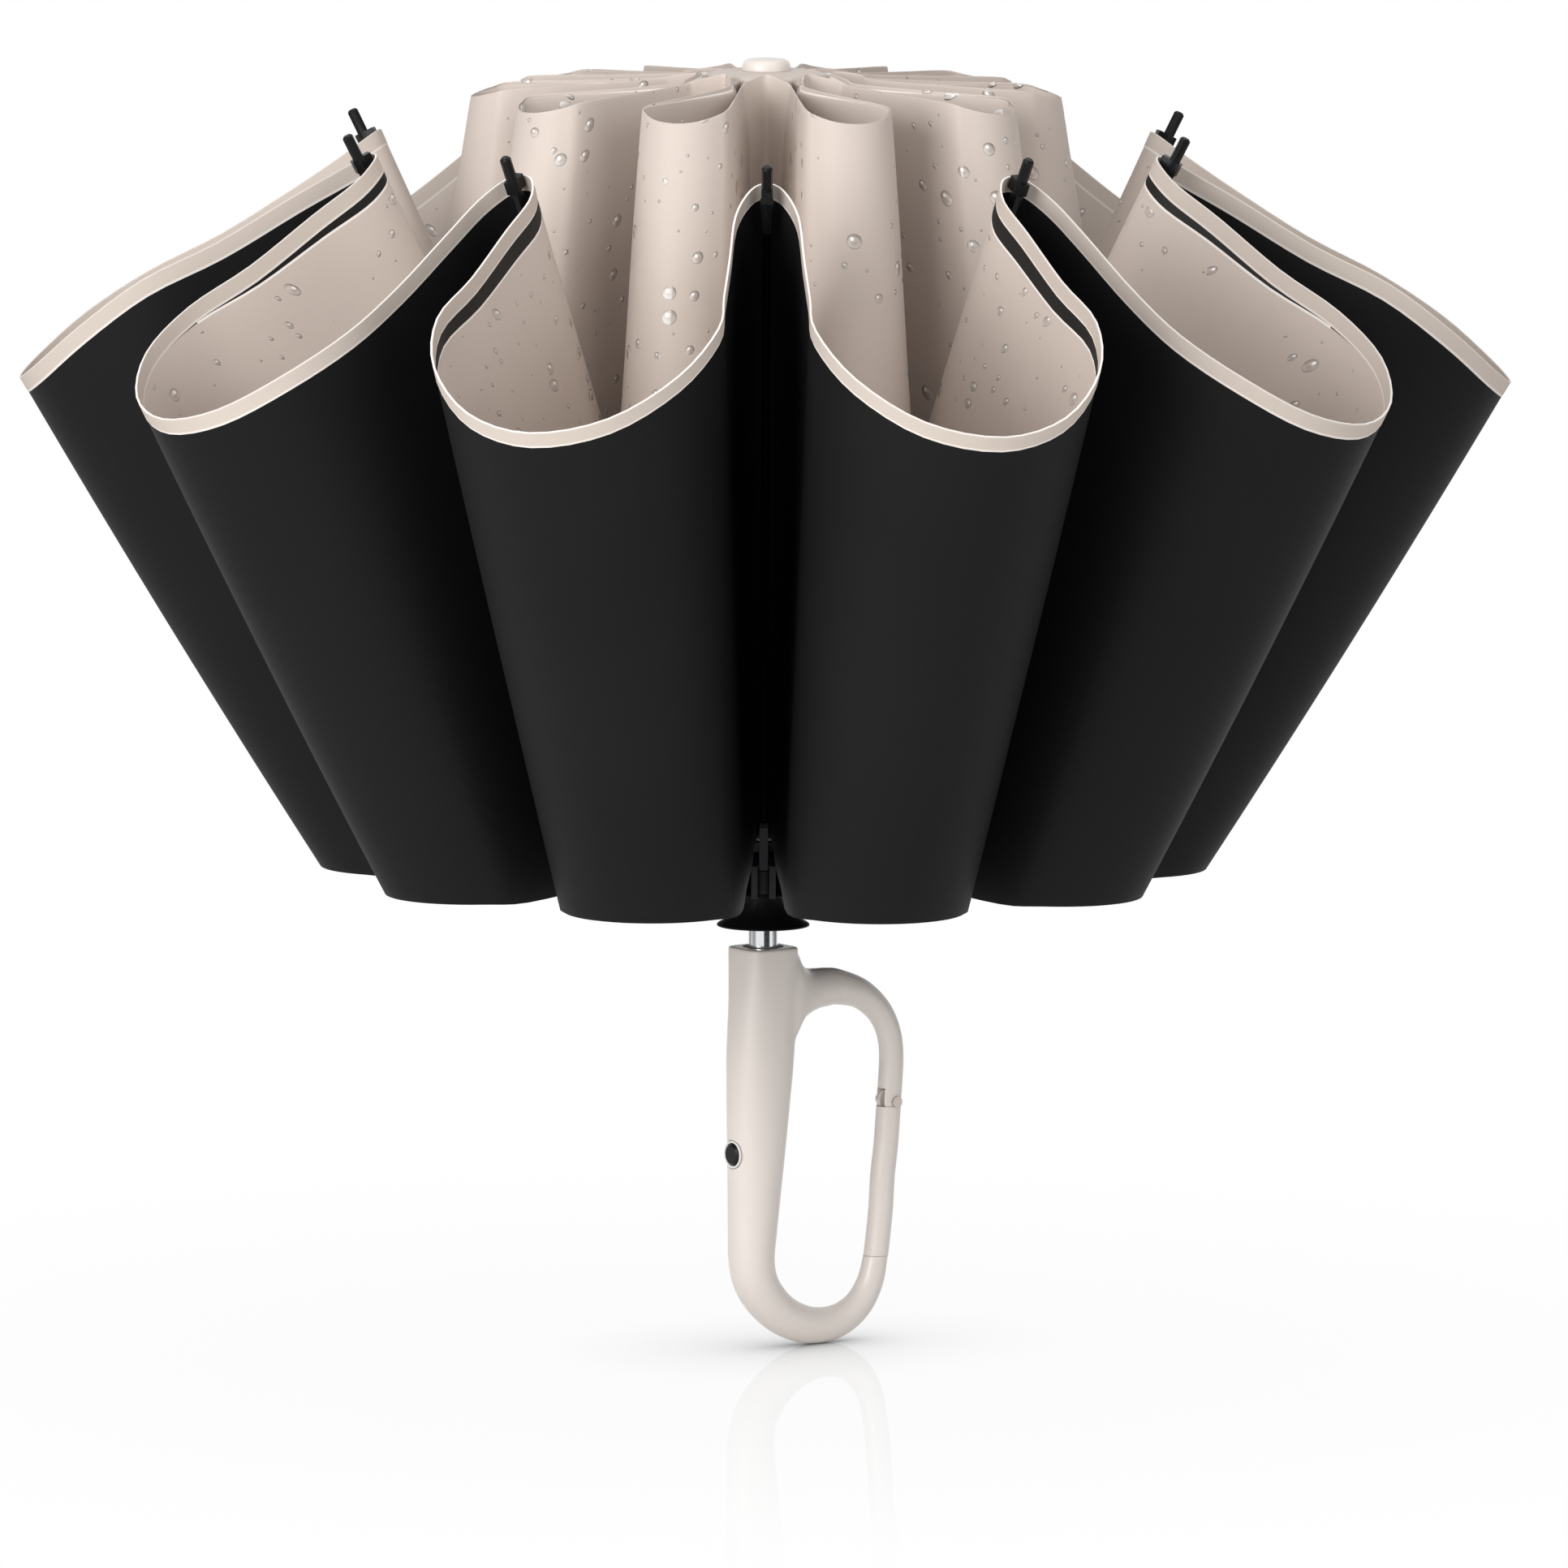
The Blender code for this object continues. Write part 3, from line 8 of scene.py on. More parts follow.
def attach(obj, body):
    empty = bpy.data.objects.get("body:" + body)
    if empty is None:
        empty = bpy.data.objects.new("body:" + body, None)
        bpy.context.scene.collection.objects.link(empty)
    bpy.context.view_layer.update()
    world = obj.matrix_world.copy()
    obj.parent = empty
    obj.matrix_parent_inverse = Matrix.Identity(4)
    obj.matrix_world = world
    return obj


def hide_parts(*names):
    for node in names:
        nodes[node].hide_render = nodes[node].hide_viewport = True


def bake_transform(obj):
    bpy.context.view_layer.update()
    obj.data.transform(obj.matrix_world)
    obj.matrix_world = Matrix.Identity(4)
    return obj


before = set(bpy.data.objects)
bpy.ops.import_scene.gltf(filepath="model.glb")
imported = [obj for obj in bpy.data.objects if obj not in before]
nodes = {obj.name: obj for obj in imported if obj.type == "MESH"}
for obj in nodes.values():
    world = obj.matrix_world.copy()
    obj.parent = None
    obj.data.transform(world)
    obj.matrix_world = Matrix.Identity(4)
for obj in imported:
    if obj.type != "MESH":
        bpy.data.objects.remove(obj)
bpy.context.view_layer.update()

ribCount = 10
ribStep = 2 * math.pi / ribCount
firstRib = math.radians(18.0)
halfStep = ribStep / 2
# The outer ribs at rest: radius and height of their pivots, and their lean.
ribPivot = np.array([0.0210, 0.1985])
ribLean = math.radians(27.49)


def linear(code):
    # Hex sRGB to linear light.
    value = np.array([int(code[i:i + 2], 16) for i in (1, 3, 5)]) / 255.0
    bright = np.where(value <= 0.04045, value / 12.92, ((value + 0.055) / 1.055) ** 2.4)
    return (*[float(v) for v in bright], 1.0)


def newMaterial(name):
    material = bpy.data.materials.new(name)
    material.use_nodes = True
    tree = material.node_tree
    return material, tree, tree.nodes["Principled BSDF"]


def addNode(tree, kind, inputs=None, **settings):
    node = tree.nodes.new(kind)
    for key, value in settings.items():
        setattr(node, key, value)
    for key, value in (inputs or {}).items():
        if isinstance(value, bpy.types.NodeSocket):
            tree.links.new(value, node.inputs[key])
        else:
            node.inputs[key].default_value = value
    return node


def noiseNode(tree, place, scale, detail):
    size = {"Vector": place, "Scale": scale, "Detail": detail}
    return addNode(tree, "ShaderNodeTexNoise", size).outputs["Fac"]


def markNode(tree, name):
    # A value that the mesh carries at each of its points.
    return addNode(tree, "ShaderNodeAttribute", attribute_name=name).outputs["Fac"]


def mathNode(tree, operation, *values):
    return addNode(
        tree, "ShaderNodeMath", dict(enumerate(values)), operation=operation
    ).outputs[0]


def stepUp(tree, value, start, end):
    # 0 below the start, 1 above the end, smooth between.
    span = {"Value": value, "From Min": start, "From Max": end}
    return addNode(
        tree, "ShaderNodeMapRange", span, interpolation_type="SMOOTHSTEP"
    ).outputs["Result"]


def mixColours(tree, share, first, second):
    node = addNode(tree, "ShaderNodeMix", data_type="RGBA")
    for key, value in (("Factor", share), ("A", first), ("B", second)):
        socket = next(
            s for s in node.inputs
            if s.name == key and (s.type == "RGBA" or key == "Factor" and s.type == "VALUE")
        )
        if isinstance(value, bpy.types.NodeSocket):
            tree.links.new(value, socket)
        else:
            socket.default_value = value
    return next(s for s in node.outputs if s.type == "RGBA")


def bumpNode(tree, height, strength, distance, under=None):
    inputs = {"Height": height, "Strength": strength, "Distance": distance}
    if under is not None:
        inputs["Normal"] = under
    return addNode(tree, "ShaderNodeBump", inputs).outputs[0]


def wovenHeight(tree, size):
    # Two crossed sets of threads, as fine ridges.
    place = addNode(tree, "ShaderNodeUVMap").outputs[0]
    axes = addNode(tree, "ShaderNodeSeparateXYZ", {"Vector": place})
    waves = [
        mathNode(tree, "SINE", mathNode(tree, "MULTIPLY", axes.outputs[i], 2 * math.pi / size))
        for i in (0, 1)
    ]
    return mathNode(tree, "MULTIPLY", *waves)


# Threads, slack waves, the binding with its top edge painted paler as a highlight and its seam,
# and the lining's gap: how far the lining has to sag before it shows, and its pale edge. In
# metres, apart from the clouds and waves, which are a number in a metre, and the strength of
# each bump.
clothSizes = {
    "thread": 0.0006, "threadRise": 0.0001, "threadBump": 0.12,
    "slackScale": 16.0, "slackRise": 0.0020, "slackBump": 0.25, "cloudScale": 9.0,
    "edgeHighlight": 0.0004, "seam": 0.0066, "seamHalf": 0.0005, "band": 0.0071,
    "gapFrom": 0.0076, "gapEdge": 0.0005,
}
# Rain beads: cells in a metre, radii as parts of a cell, the share of cells without one, where
# the wet patches begin, the dry strip at the hem and the bump's height in metres; then the span
# and strength of each bead's painted shade and light, its roughness, and the place and size of
# its painted white highlight.
beadSizes = {
    "cells": 88.0, "smallest": 0.045, "growth": 0.23, "rarity": 2.5, "empty": 0.22,
    "patchScale": 20.0, "patch": (0.38, 0.43), "dryStrip": 0.004, "height": 0.0030,
    "bend": 0.7, "ring": (0.25, 0.90), "ringShare": 0.8, "roughness": 0.05,
    "glintPlace": (-0.30, 0.32, 0.0), "glint": 0.26,
}


def rainBeads(tree, place, dry, base, normal, roughness):
    # Round caps in some cells only, clear and glossy, away from the hem.
    real = addNode(tree, "ShaderNodeUVMap").outputs[0]
    cells = addNode(
        tree, "ShaderNodeTexVoronoi", {"Vector": real, "Scale": beadSizes["cells"]},
        voronoi_dimensions="2D",
    )
    pick = addNode(tree, "ShaderNodeSeparateColor", {"Color": cells.outputs["Color"]})
    patch = noiseNode(tree, place, beadSizes["patchScale"], 0.0)
    radius = mathNode(tree, "POWER", pick.outputs[0], beadSizes["rarity"])
    radius = mathNode(tree, "MULTIPLY", radius, beadSizes["growth"])
    radius = mathNode(tree, "ADD", radius, beadSizes["smallest"])
    chosen = mathNode(tree, "GREATER_THAN", pick.outputs[1], beadSizes["empty"])
    chosen = mathNode(tree, "MULTIPLY", chosen, stepUp(tree, patch, *beadSizes["patch"]))
    chosen = mathNode(tree, "MULTIPLY", chosen, dry)
    radius = mathNode(tree, "MULTIPLY", radius, chosen)
    rise = mathNode(tree, "SUBTRACT", radius, cells.outputs["Distance"])
    bead = mathNode(tree, "MAXIMUM", rise, 0.0)
    dome = mathNode(tree, "POWER", bead, 0.5)
    wet = mathNode(tree, "GREATER_THAN", bead, 0.0)
    # Painted light on each bead: painted shade at its upper edge and painted light at its lower
    # edge, standing in for the light a real bead bends, and a small painted white highlight at
    # its upper left. The offset runs from 0 at its middle to 1 at its rim.
    offset = addNode(
        tree, "ShaderNodeVectorMath", {0: real, 1: cells.outputs["Position"]},
        operation="SUBTRACT",
    ).outputs[0]
    grow = mathNode(tree, "MAXIMUM", radius, 0.001)
    grow = mathNode(tree, "DIVIDE", beadSizes["cells"], grow)
    offset = addNode(
        tree, "ShaderNodeVectorMath", {0: offset, "Scale": grow}, operation="SCALE"
    ).outputs[0]
    height = addNode(tree, "ShaderNodeSeparateXYZ", {"Vector": offset}).outputs["Y"]
    # Painted shade towards the bead's upper edge, painted light towards its lower edge.
    lower = stepUp(tree, height, beadSizes["bend"], -beadSizes["bend"])
    paintedBeadShade = mixColours(tree, lower, linear("#94877C"), linear("#F4F0EC"))
    away = addNode(
        tree, "ShaderNodeVectorMath", {0: offset}, operation="LENGTH"
    ).outputs["Value"]
    ring = mathNode(tree, "MULTIPLY", stepUp(tree, away, *beadSizes["ring"]), wet)
    ring = mathNode(tree, "MULTIPLY", ring, beadSizes["ringShare"])
    base = mixColours(tree, ring, base, paintedBeadShade)
    spot = addNode(
        tree, "ShaderNodeVectorMath", {0: offset, 1: beadSizes["glintPlace"]},
        operation="DISTANCE",
    ).outputs["Value"]
    # Painted highlight: a white spot near the glint's place.
    glint = mathNode(tree, "LESS_THAN", spot, beadSizes["glint"])
    glint = mathNode(tree, "MULTIPLY", glint, wet)
    base = mixColours(tree, glint, base, linear("#FFFFFF"))
    normal = bumpNode(tree, dome, 1.0, beadSizes["height"], normal)
    smoother = mathNode(tree, "MULTIPLY", wet, roughness - beadSizes["roughness"])
    return base, normal, wet, mathNode(tree, "SUBTRACT", roughness, smoother)


def clothMaterial(name, colour, shade, roughness, shine, drops):
    # Tight pongee: soft broad shading with next to no gloss, and faint slack waves.
    material, tree, shader = newMaterial(name)
    place = addNode(tree, "ShaderNodeTexCoord").outputs["Object"]
    cloud = noiseNode(tree, place, clothSizes["cloudScale"], 2.0)
    slack = noiseNode(tree, place, clothSizes["slackScale"], 1.0)
    base = mixColours(tree, stepUp(tree, cloud, 0.3, 0.7), linear(shade), linear(colour))
    hem = markNode(tree, "hemDistance")
    # Painted highlight: the binding's folded top edge, paler than the rest of the tape.
    edge = mathNode(tree, "LESS_THAN", hem, clothSizes["edgeHighlight"])
    seam = mathNode(tree, "COMPARE", hem, clothSizes["seam"], clothSizes["seamHalf"])
    band = mathNode(tree, "LESS_THAN", hem, clothSizes["band"])
    tape = mixColours(tree, edge, linear("#C9BDB3"), linear("#DDD4CC"))
    tape = mixColours(tree, seam, tape, linear("#E2DAD3"))
    if drops:
        # On some flanks the lining sags off the hem, and the black cloth shows there.
        lining = markNode(tree, "liningEdge")
        gap = mathNode(tree, "LESS_THAN", hem, lining)
        turn = mathNode(tree, "COMPARE", hem, lining, clothSizes["gapEdge"])
        sagging = mathNode(tree, "GREATER_THAN", lining, clothSizes["gapFrom"])
        turn = mathNode(tree, "MULTIPLY", turn, sagging)
        base = mixColours(tree, gap, base, linear("#161616"))
        base = mixColours(tree, turn, base, linear("#F2ECE7"))
    base = mixColours(tree, band, base, tape)
    # Painted highlight: a pale line along the rim's fold.
    rim = mathNode(tree, "GREATER_THAN", markNode(tree, "rimHighlight"), 0.3)
    base = mixColours(tree, rim, base, linear("#EEE7E1"))
    shader.inputs["Roughness"].default_value = roughness
    shader.inputs["Specular IOR Level"].default_value = shine
    woven = wovenHeight(tree, clothSizes["thread"])
    normal = bumpNode(tree, woven, clothSizes["threadBump"], clothSizes["threadRise"])
    normal = bumpNode(tree, slack, clothSizes["slackBump"], clothSizes["slackRise"], normal)
    if drops:
        dry = mathNode(tree, "ADD", lining, beadSizes["dryStrip"])
        dry = mathNode(tree, "GREATER_THAN", hem, dry)
        base, normal, wet, rough = rainBeads(tree, place, dry, base, normal, roughness)
        tree.links.new(rough, shader.inputs["Roughness"])
        tree.links.new(wet, shader.inputs["Coat Weight"])
    tree.links.new(base, shader.inputs["Base Color"])
    tree.links.new(normal, shader.inputs["Normal"])
    return material


# Grain and clouds of moulded plastic, and the draw marks of metal across and along, as
# numbers in a metre, with how far each changes the roughness.
mouldedSizes = {
    "grainScale": 2600.0, "grainRise": 0.0001, "cloudScale": 40.0, "cloudChange": 0.04,
    "coatRoughness": 0.12,
}
metalSizes = {"markScale": (90.0, 90.0, 2200.0), "markChange": 0.06}


def mouldedMaterial(name, colour, roughness, grain, coat=0.0, shine=0.5):
    # Moulded plastic: even colour, satin highlight, a fine grain that softens it.
    material, tree, shader = newMaterial(name)
    place = addNode(tree, "ShaderNodeTexCoord").outputs["Object"]
    fine = noiseNode(tree, place, mouldedSizes["grainScale"], 2.0)
    cloud = noiseNode(tree, place, mouldedSizes["cloudScale"], 2.0)
    shader.inputs["Base Color"].default_value = linear(colour)
    change = mouldedSizes["cloudChange"]
    span = {"Value": cloud, "To Min": roughness - change, "To Max": roughness + change}
    rough = addNode(tree, "ShaderNodeMapRange", span).outputs["Result"]
    tree.links.new(rough, shader.inputs["Roughness"])
    shader.inputs["Specular IOR Level"].default_value = shine
    shader.inputs["Coat Weight"].default_value = coat
    shader.inputs["Coat Roughness"].default_value = mouldedSizes["coatRoughness"]
    normal = bumpNode(tree, fine, grain, mouldedSizes["grainRise"])
    tree.links.new(normal, shader.inputs["Normal"])
    return material


def metalMaterial(name, colour, roughness):
    # Plated or coated steel, with fine draw marks round the piece.
    material, tree, shader = newMaterial(name)
    place = addNode(tree, "ShaderNodeTexCoord").outputs["Object"]
    stretch = addNode(
        tree, "ShaderNodeMapping", {"Vector": place, "Scale": metalSizes["markScale"]}
    ).outputs[0]
    marks = noiseNode(tree, stretch, 1.0, 1.0)
    shader.inputs["Base Color"].default_value = linear(colour)
    shader.inputs["Metallic"].default_value = 1.0
    span = {
        "Value": marks, "To Min": roughness, "To Max": roughness + metalSizes["markChange"],
    }
    rough = addNode(tree, "ShaderNodeMapRange", span).outputs["Result"]
    tree.links.new(rough, shader.inputs["Roughness"])
    return material


beigeCloth = clothMaterial("beigeCloth", "#D1C5BC", "#CABDB4", 0.55, 0.35, True)
blackCloth = clothMaterial("blackCloth", "#191919", "#171718", 0.62, 0.10, False)
mattBlack = mouldedMaterial("mattBlack", "#131314", 0.46, 0.10, 0.0, 0.14)
# The hem tape's top edge: the tape's colour painted paler as a highlight.
hemTapeHighlight = mouldedMaterial("hemTapeHighlight", "#EFE8E2", 0.50, 0.05)
beigeHandle = mouldedMaterial("beigeHandle", "#DFD6CF", 0.34, 0.04, 0.15)
blackPlastic = mouldedMaterial("blackPlastic", "#121213", 0.36, 0.10, 0.0, 0.22)
chrome = metalMaterial("chrome", "#E4E6E8", 0.06)
blackSteel = metalMaterial("blackSteel", "#242426", 0.34)
paleRing = mouldedMaterial("paleRing", "#E2DFDA", 0.25, 0.02, 0.4)
pinMetal = metalMaterial("pinMetal", "#D2C8C0", 0.35)
print("materials made")


def addObject(name, data):
    piece = bpy.data.objects.new(name, data)
    bpy.context.scene.collection.objects.link(piece)
    return piece


def showMesh(name, vertices, faces, material, smooth=True):
    mesh = bpy.data.meshes.new(name)
    mesh.vertices.add(len(vertices))
    mesh.vertices.foreach_set("co", np.ascontiguousarray(vertices, np.float32).ravel())
    sides = faces.shape[1]
    mesh.loops.add(faces.size)
    mesh.loops.foreach_set("vertex_index", np.ascontiguousarray(faces, np.int32).ravel())
    mesh.polygons.add(len(faces))
    mesh.polygons.foreach_set("loop_start", np.arange(0, faces.size, sides, dtype=np.int32))
    mesh.update(calc_edges=True)
    mesh.validate()
    mesh.polygons.foreach_set("use_smooth", np.full(len(mesh.polygons), smooth))
    piece = addObject(name, mesh)
    for one in material if isinstance(material, tuple) else (material,):
        mesh.materials.append(one)
    return piece


def dress(piece, material, sharpAngle):
    # One finish, smooth, with hard edges beyond the angle in degrees.
    mesh = piece.data
    mesh.materials.clear()
    mesh.materials.append(material)
    mesh.polygons.foreach_set("use_smooth", np.full(len(mesh.polygons), True))
    mesh.set_sharp_from_angle(angle=math.radians(sharpAngle))


def gridFaces(rows, columns, around):
    # Quads between the points of a grid that is rows by columns.
    wide = columns if around else columns - 1
    row, column = np.meshgrid(np.arange(rows - 1), np.arange(wide), indexing="ij")
    after = (column + 1) % columns
    faces = np.stack(
        [row * columns + column, row * columns + after,
         (row + 1) * columns + after, (row + 1) * columns + column], axis=-1
    )
    return faces.reshape(-1, 4)


def throughPoints(points, steps, ghostStart=None, ghostEnd=None):
    # A smooth line through points, with the given number of steps between each two.
    points = np.asarray(points, float)
    first = 2 * points[0] - points[1] if ghostStart is None else ghostStart
    last = 2 * points[-1] - points[-2] if ghostEnd is None else ghostEnd
    line = np.concatenate([[first], points, [last]])
    place = np.arange((len(points) - 1) * steps + 1) / steps
    index = np.minimum(place.astype(int), len(points) - 2)
    t = (place - index).reshape((-1,) + (1,) * (points.ndim - 1))
    a, b, c, d = (line[index + k] for k in range(4))
    return 0.5 * (
        2 * b + (c - a) * t + (2 * a - 5 * b + 4 * c - d) * t**2
        + (3 * b - a - 3 * c + d) * t**3
    )


# The canopy. Each level is one line round the umbrella: at the ribs (valley) a rounded
# channel, between them a lobe with a rounded end. Sizes in millimetres, the channel's
# own form as shares of its width and depth, rounder at the hem than in the lining.
canopySizes = {
    "channelWidth": (0.0, 0.45, 0.85, 1.0),
    "channelDepth": (0.0, 0.08, 0.40, 1.0),
    "pleatDepth": (0.0, 0.26, 0.64, 1.0),
    "stepsAcross": 4,
    "pocketSteps": 4,
    "wallSteps": 9,
    "cloth": 0.36,
    "binding": 0.22,
    "bindingWidth": 6.9,
    "bindingFade": 0.2,
    "frontRise": 3.0,
    "frontRows": 6.0,
    "foldTuck": (1.5, 0.4),
    "tuckRows": 2.0,
    "liningSag": 23.0,
}
innerLevels = {
    # name: valley radius, valley height, lobe radius, lobe height, lobe half width,
    # rounded end, channel half width, channel depth, drop shares at channel and side
    "pocketTop": (24.6, 512.2, 25.5, 500.0, 5.0, 8.0, 2.6, 1.5, 0.30, 0.80),
    "pocketSide": (24.9, 511.9, 29.0, 472.0, 5.6, 8.0, 3.2, 2.2, 0.40, 0.90),
    "pocketFloor": (25.2, 511.5, 54.0, 446.0, 7.0, 12.0, 6.4, 5.0, 0.30, 0.90),
    "pocketEnd": (25.6, 511.0, 103.0, 460.0, 12.0, 13.6, 10.8, 11.5, 0.15, 0.70),
    "rimInside": (26.2, 510.6, 116.1, 500.6, 15.9, 15.6, 11.4, 13.8, 0.26, 0.56),
    "rim": (27.0, 512.2, 117.0, 502.8, 16.7, 16.4, 10.6, 14.0, 0.26, 0.56),
    "rimOutside": (27.8, 510.6, 117.9, 500.6, 17.5, 17.2, 9.8, 14.2, 0.26, 0.56),
    "shoulder": (29.5, 470.0, 124.2, 462.0, 19.2, 20.0, 7.0, 11.5, 0.06, 0.45),
    "waist": (40.0, 345.0, 145.0, 345.0, 23.5, 27.0, 6.5, 20.0, 0.06, 0.45),
    "fold": (23.5, 213.0, 177.0, 195.4, 35.5, 37.0, 4.6, 14.0, 0.66, 0.985),
}
# The hem: radius and height at a rib, and for each kind of flank the lobe half width, the
# rounded end, the channel's half width and depth, and the drop shares, as above.
hemRib = (162.9, 485.7)
hemFlank = {
    "side": (55.0, 50.0, 14.6, 30.0, 0.24, 0.61),
    "front": (60.5, 50.0, 14.4, 38.0, 0.30, 0.56),
    "shared": (54.0, 50.0, 14.6, 30.0, 0.22, 0.56),
    "outermost": (55.0, 50.0, 14.6, 30.0, 0.19, 0.53),
}
# Radius and height where the hem of each lobe ends, in the view of the photograph.
hemEnds = {3: (297.0, 391.5), 4: (291.0, 393.5), 5: (297.0, 401.0), 6: (297.0, 400.0),
           7: (289.0, 393.0), 8: (297.0, 391.5)}
farEnd = (297.0, 395.0)
frontRib = 6
outermostLobes = (3, 8)


def halfLine(level, pleat="pleatDepth"):
    # From the rib to the middle of the lobe, in the lobe's own frame, in metres.
    radius, height, reach, bottom, width, cap, channel, depth, foot, side = level
    c, s = math.cos(halfStep), math.sin(halfStep)
    across = channel * np.array(canopySizes["channelWidth"])
    along = radius + depth * np.array(canopySizes[pleat])
    plan = [(r * c + a * s, r * s - a * c) for a, r in zip(across, along)]
    widest = (reach - cap, width)
    plan.append([(plan[-1][i] + widest[i]) / 2 for i in (0, 1)])
    plan.append(widest)
    for angle in (math.radians(30), math.radians(60), math.radians(90)):
        plan.append((reach - cap + cap * math.sin(angle), width * math.cos(angle)))
    # The drop from rib to lobe at each of these points, as a share of the whole.
    past = side + (1 - side) * np.sin(np.radians([0, 30, 60, 90])) ** 1.2
    shares = [0.0, foot * 0.1, foot * 0.45, foot, foot + (side - foot) * 0.55, *past]
    fall = bottom - height
    points = np.array([(x, y, height + fall * k) for (x, y), k in zip(plan, shares)])
    x, y, z = points[1]
    turn = 2 * halfStep - math.atan2(y, x)
    far = math.hypot(x, y)
    before = np.array([far * math.cos(turn), far * math.sin(turn), z])
    after = points[-2] * (1, -1, 1)
    return throughPoints(points, canopySizes["stepsAcross"], before, after) / 1000.0


def circleLine(radius, height, columns):
    angle = halfStep * (1 - np.linspace(0, 1, columns))
    line = [radius * np.cos(angle), radius * np.sin(angle), np.full(columns, height)]
    return np.stack(line, axis=1) / 1000.0


def turned(points, angle):
    c, s = np.cos(angle), np.sin(angle)
    x = points[..., 0] * c - points[..., 1] * s
    y = points[..., 0] * s + points[..., 1] * c
    return np.stack([x, y, points[..., 2]], axis=-1)


def allRound(halves):
    # Half lobes joined all round, starting at a rib: one pair, or a pair for each lobe.
    parts = []
    for k in range(ribCount):
        starts, ends = halves[k % len(halves)]
        lobe = np.concatenate([starts * (1, -1, 1), ends[:, -2:0:-1]], axis=1)
        parts.append(turned(lobe, firstRib + ribStep * (k + 0.5)))
    return np.concatenate(parts, axis=1)


def lengthAlong(points, axis):
    step = np.linalg.norm(np.diff(points, axis=axis), axis=-1)
    start = np.zeros_like(np.take(step, [0], axis=axis))
    return np.concatenate([start, np.cumsum(step, axis=axis)], axis=axis)


def gridNormals(grid):
    # Square to the rows and the columns of a grid that closes on itself sideways.
    across = np.roll(grid, -1, axis=1) - np.roll(grid, 1, axis=1)
    along = np.gradient(grid, axis=0)
    normal = np.cross(across, along)
    return normal / np.maximum(np.linalg.norm(normal, axis=-1, keepdims=True), 1e-12)


# How far apart the lobes lie in the UV map, in metres.
lobeSpacing = 0.37


def realSize(grid, middles):
    # Distance sideways from the nearest lobe's middle, and distance along the rows.
    across = lengthAlong(grid, 1)
    middles = np.array(middles)
    nearest = np.abs(np.arange(grid.shape[1])[:, None] - middles[None]).argmin(axis=1)
    across = across - across[:, middles[nearest]] + nearest * lobeSpacing
    return np.stack([across, lengthAlong(grid, 0)], axis=-1)


def clothPiece(name, grid, normals, around, materials, marks, half, middles):
    # Cloth with two faces and its edges closed, its real size in the UV map.
    rows, columns = grid.shape[:2]
    count = rows * columns
    lift = normals * half[..., None]
    front, rear = grid + lift, grid - lift
    faces = gridFaces(rows, columns, around)
    parts, directions = [front.reshape(-1, 3), rear.reshape(-1, 3)], [normals.reshape(-1, 3)]
    directions.append(-directions[0])
    sheets = [faces, faces[:, ::-1] + count]
    kinds = [np.zeros(len(faces), int), np.ones(len(faces), int)]
    index = np.arange(count).reshape(rows, columns)
    if around:
        index = np.concatenate([index, index[:, :1]], axis=1)
    edges = [(index[0], 1), (index[-1], -1)]
    if not around:
        edges += [(index[:, 0], -1), (index[:, -1], 1)]
    total = 2 * count
    picked = [np.arange(count), np.arange(count)]
    # The edge after the last row has the hem's tape, painted paler than the band as a highlight
    # along the top of the hem; the others the cloth's black.
    for place, (line, way) in enumerate(edges):
        inner = np.arange(len(line) - 1)
        strip = np.stack([inner, inner + 1, inner + 1 + len(line), inner + len(line)], axis=1)
        parts += [front.reshape(-1, 3)[line], rear.reshape(-1, 3)[line]]
        ahead = np.gradient(grid.reshape(-1, 3)[line], axis=0)
        side = np.cross(ahead, normals.reshape(-1, 3)[line]) * way
        side /= np.maximum(np.linalg.norm(side, axis=1, keepdims=True), 1e-12)
        directions += [side, side]
        sheets.append((strip if way < 0 else strip[:, ::-1]) + total)
        kinds.append(np.full(len(strip), 2 if place == 1 else 3))
        picked += [line, line]
        total += 2 * len(line)
    points, directions = np.concatenate(parts), np.concatenate(directions)
    piece = showMesh(name, points, np.concatenate(sheets), materials)
    mesh = piece.data
    mesh.polygons.foreach_set("material_index", np.concatenate(kinds).astype(np.int32))
    flat = realSize(grid, middles).reshape(-1, 2)
    source = np.concatenate(picked)
    corners = np.empty(len(mesh.loops), np.int32)
    mesh.loops.foreach_get("vertex_index", corners)
    layer = mesh.uv_layers.new(name="realSize")
    layer.data.foreach_set("uv", flat[source][corners].astype(np.float32).ravel())
    for key, values in marks.items():
        mark = mesh.attributes.new(key, "FLOAT", "POINT")
        mark.data.foreach_set("value", values.ravel()[source].astype(np.float32))
    mesh.normals_split_custom_set_from_vertices(directions.tolist())
    return piece


# Inner tier: from the hole at the crown over the drum, into the pockets, over the rims
# and down to the fold at the runner. The drum's lines are radius and height.
drum = ((5.6, 514.5), (11.0, 514.7), (17.0, 514.4), (22.0, 513.6), (24.2, 511.6))
innerHalf = [halfLine(level) for level in innerLevels.values()]
columns = innerHalf[0].shape[0]
crown = [circleLine(radius, height, columns) for radius, height in drum]
pocketRows = throughPoints(np.array(crown[2:] + innerHalf[:6]), canopySizes["pocketSteps"])
wallRows = throughPoints(np.array(innerHalf[5:]), canopySizes["wallSteps"])
innerSide = np.concatenate([crown[:2], pocketRows, wallRows[1:]])
innerGrid = allRound([(innerSide, innerSide)])
azimuth = np.arctan2(innerGrid[..., 1], innerGrid[..., 0])
atRib = (0.5 + 0.5 * np.cos(ribCount * (azimuth - firstRib))) ** 1.5
fromRim = np.arange(len(innerGrid)) - (len(crown[:2]) + len(pocketRows) - 1)
fromFold = np.arange(len(innerGrid)) - (len(innerGrid) - 1)
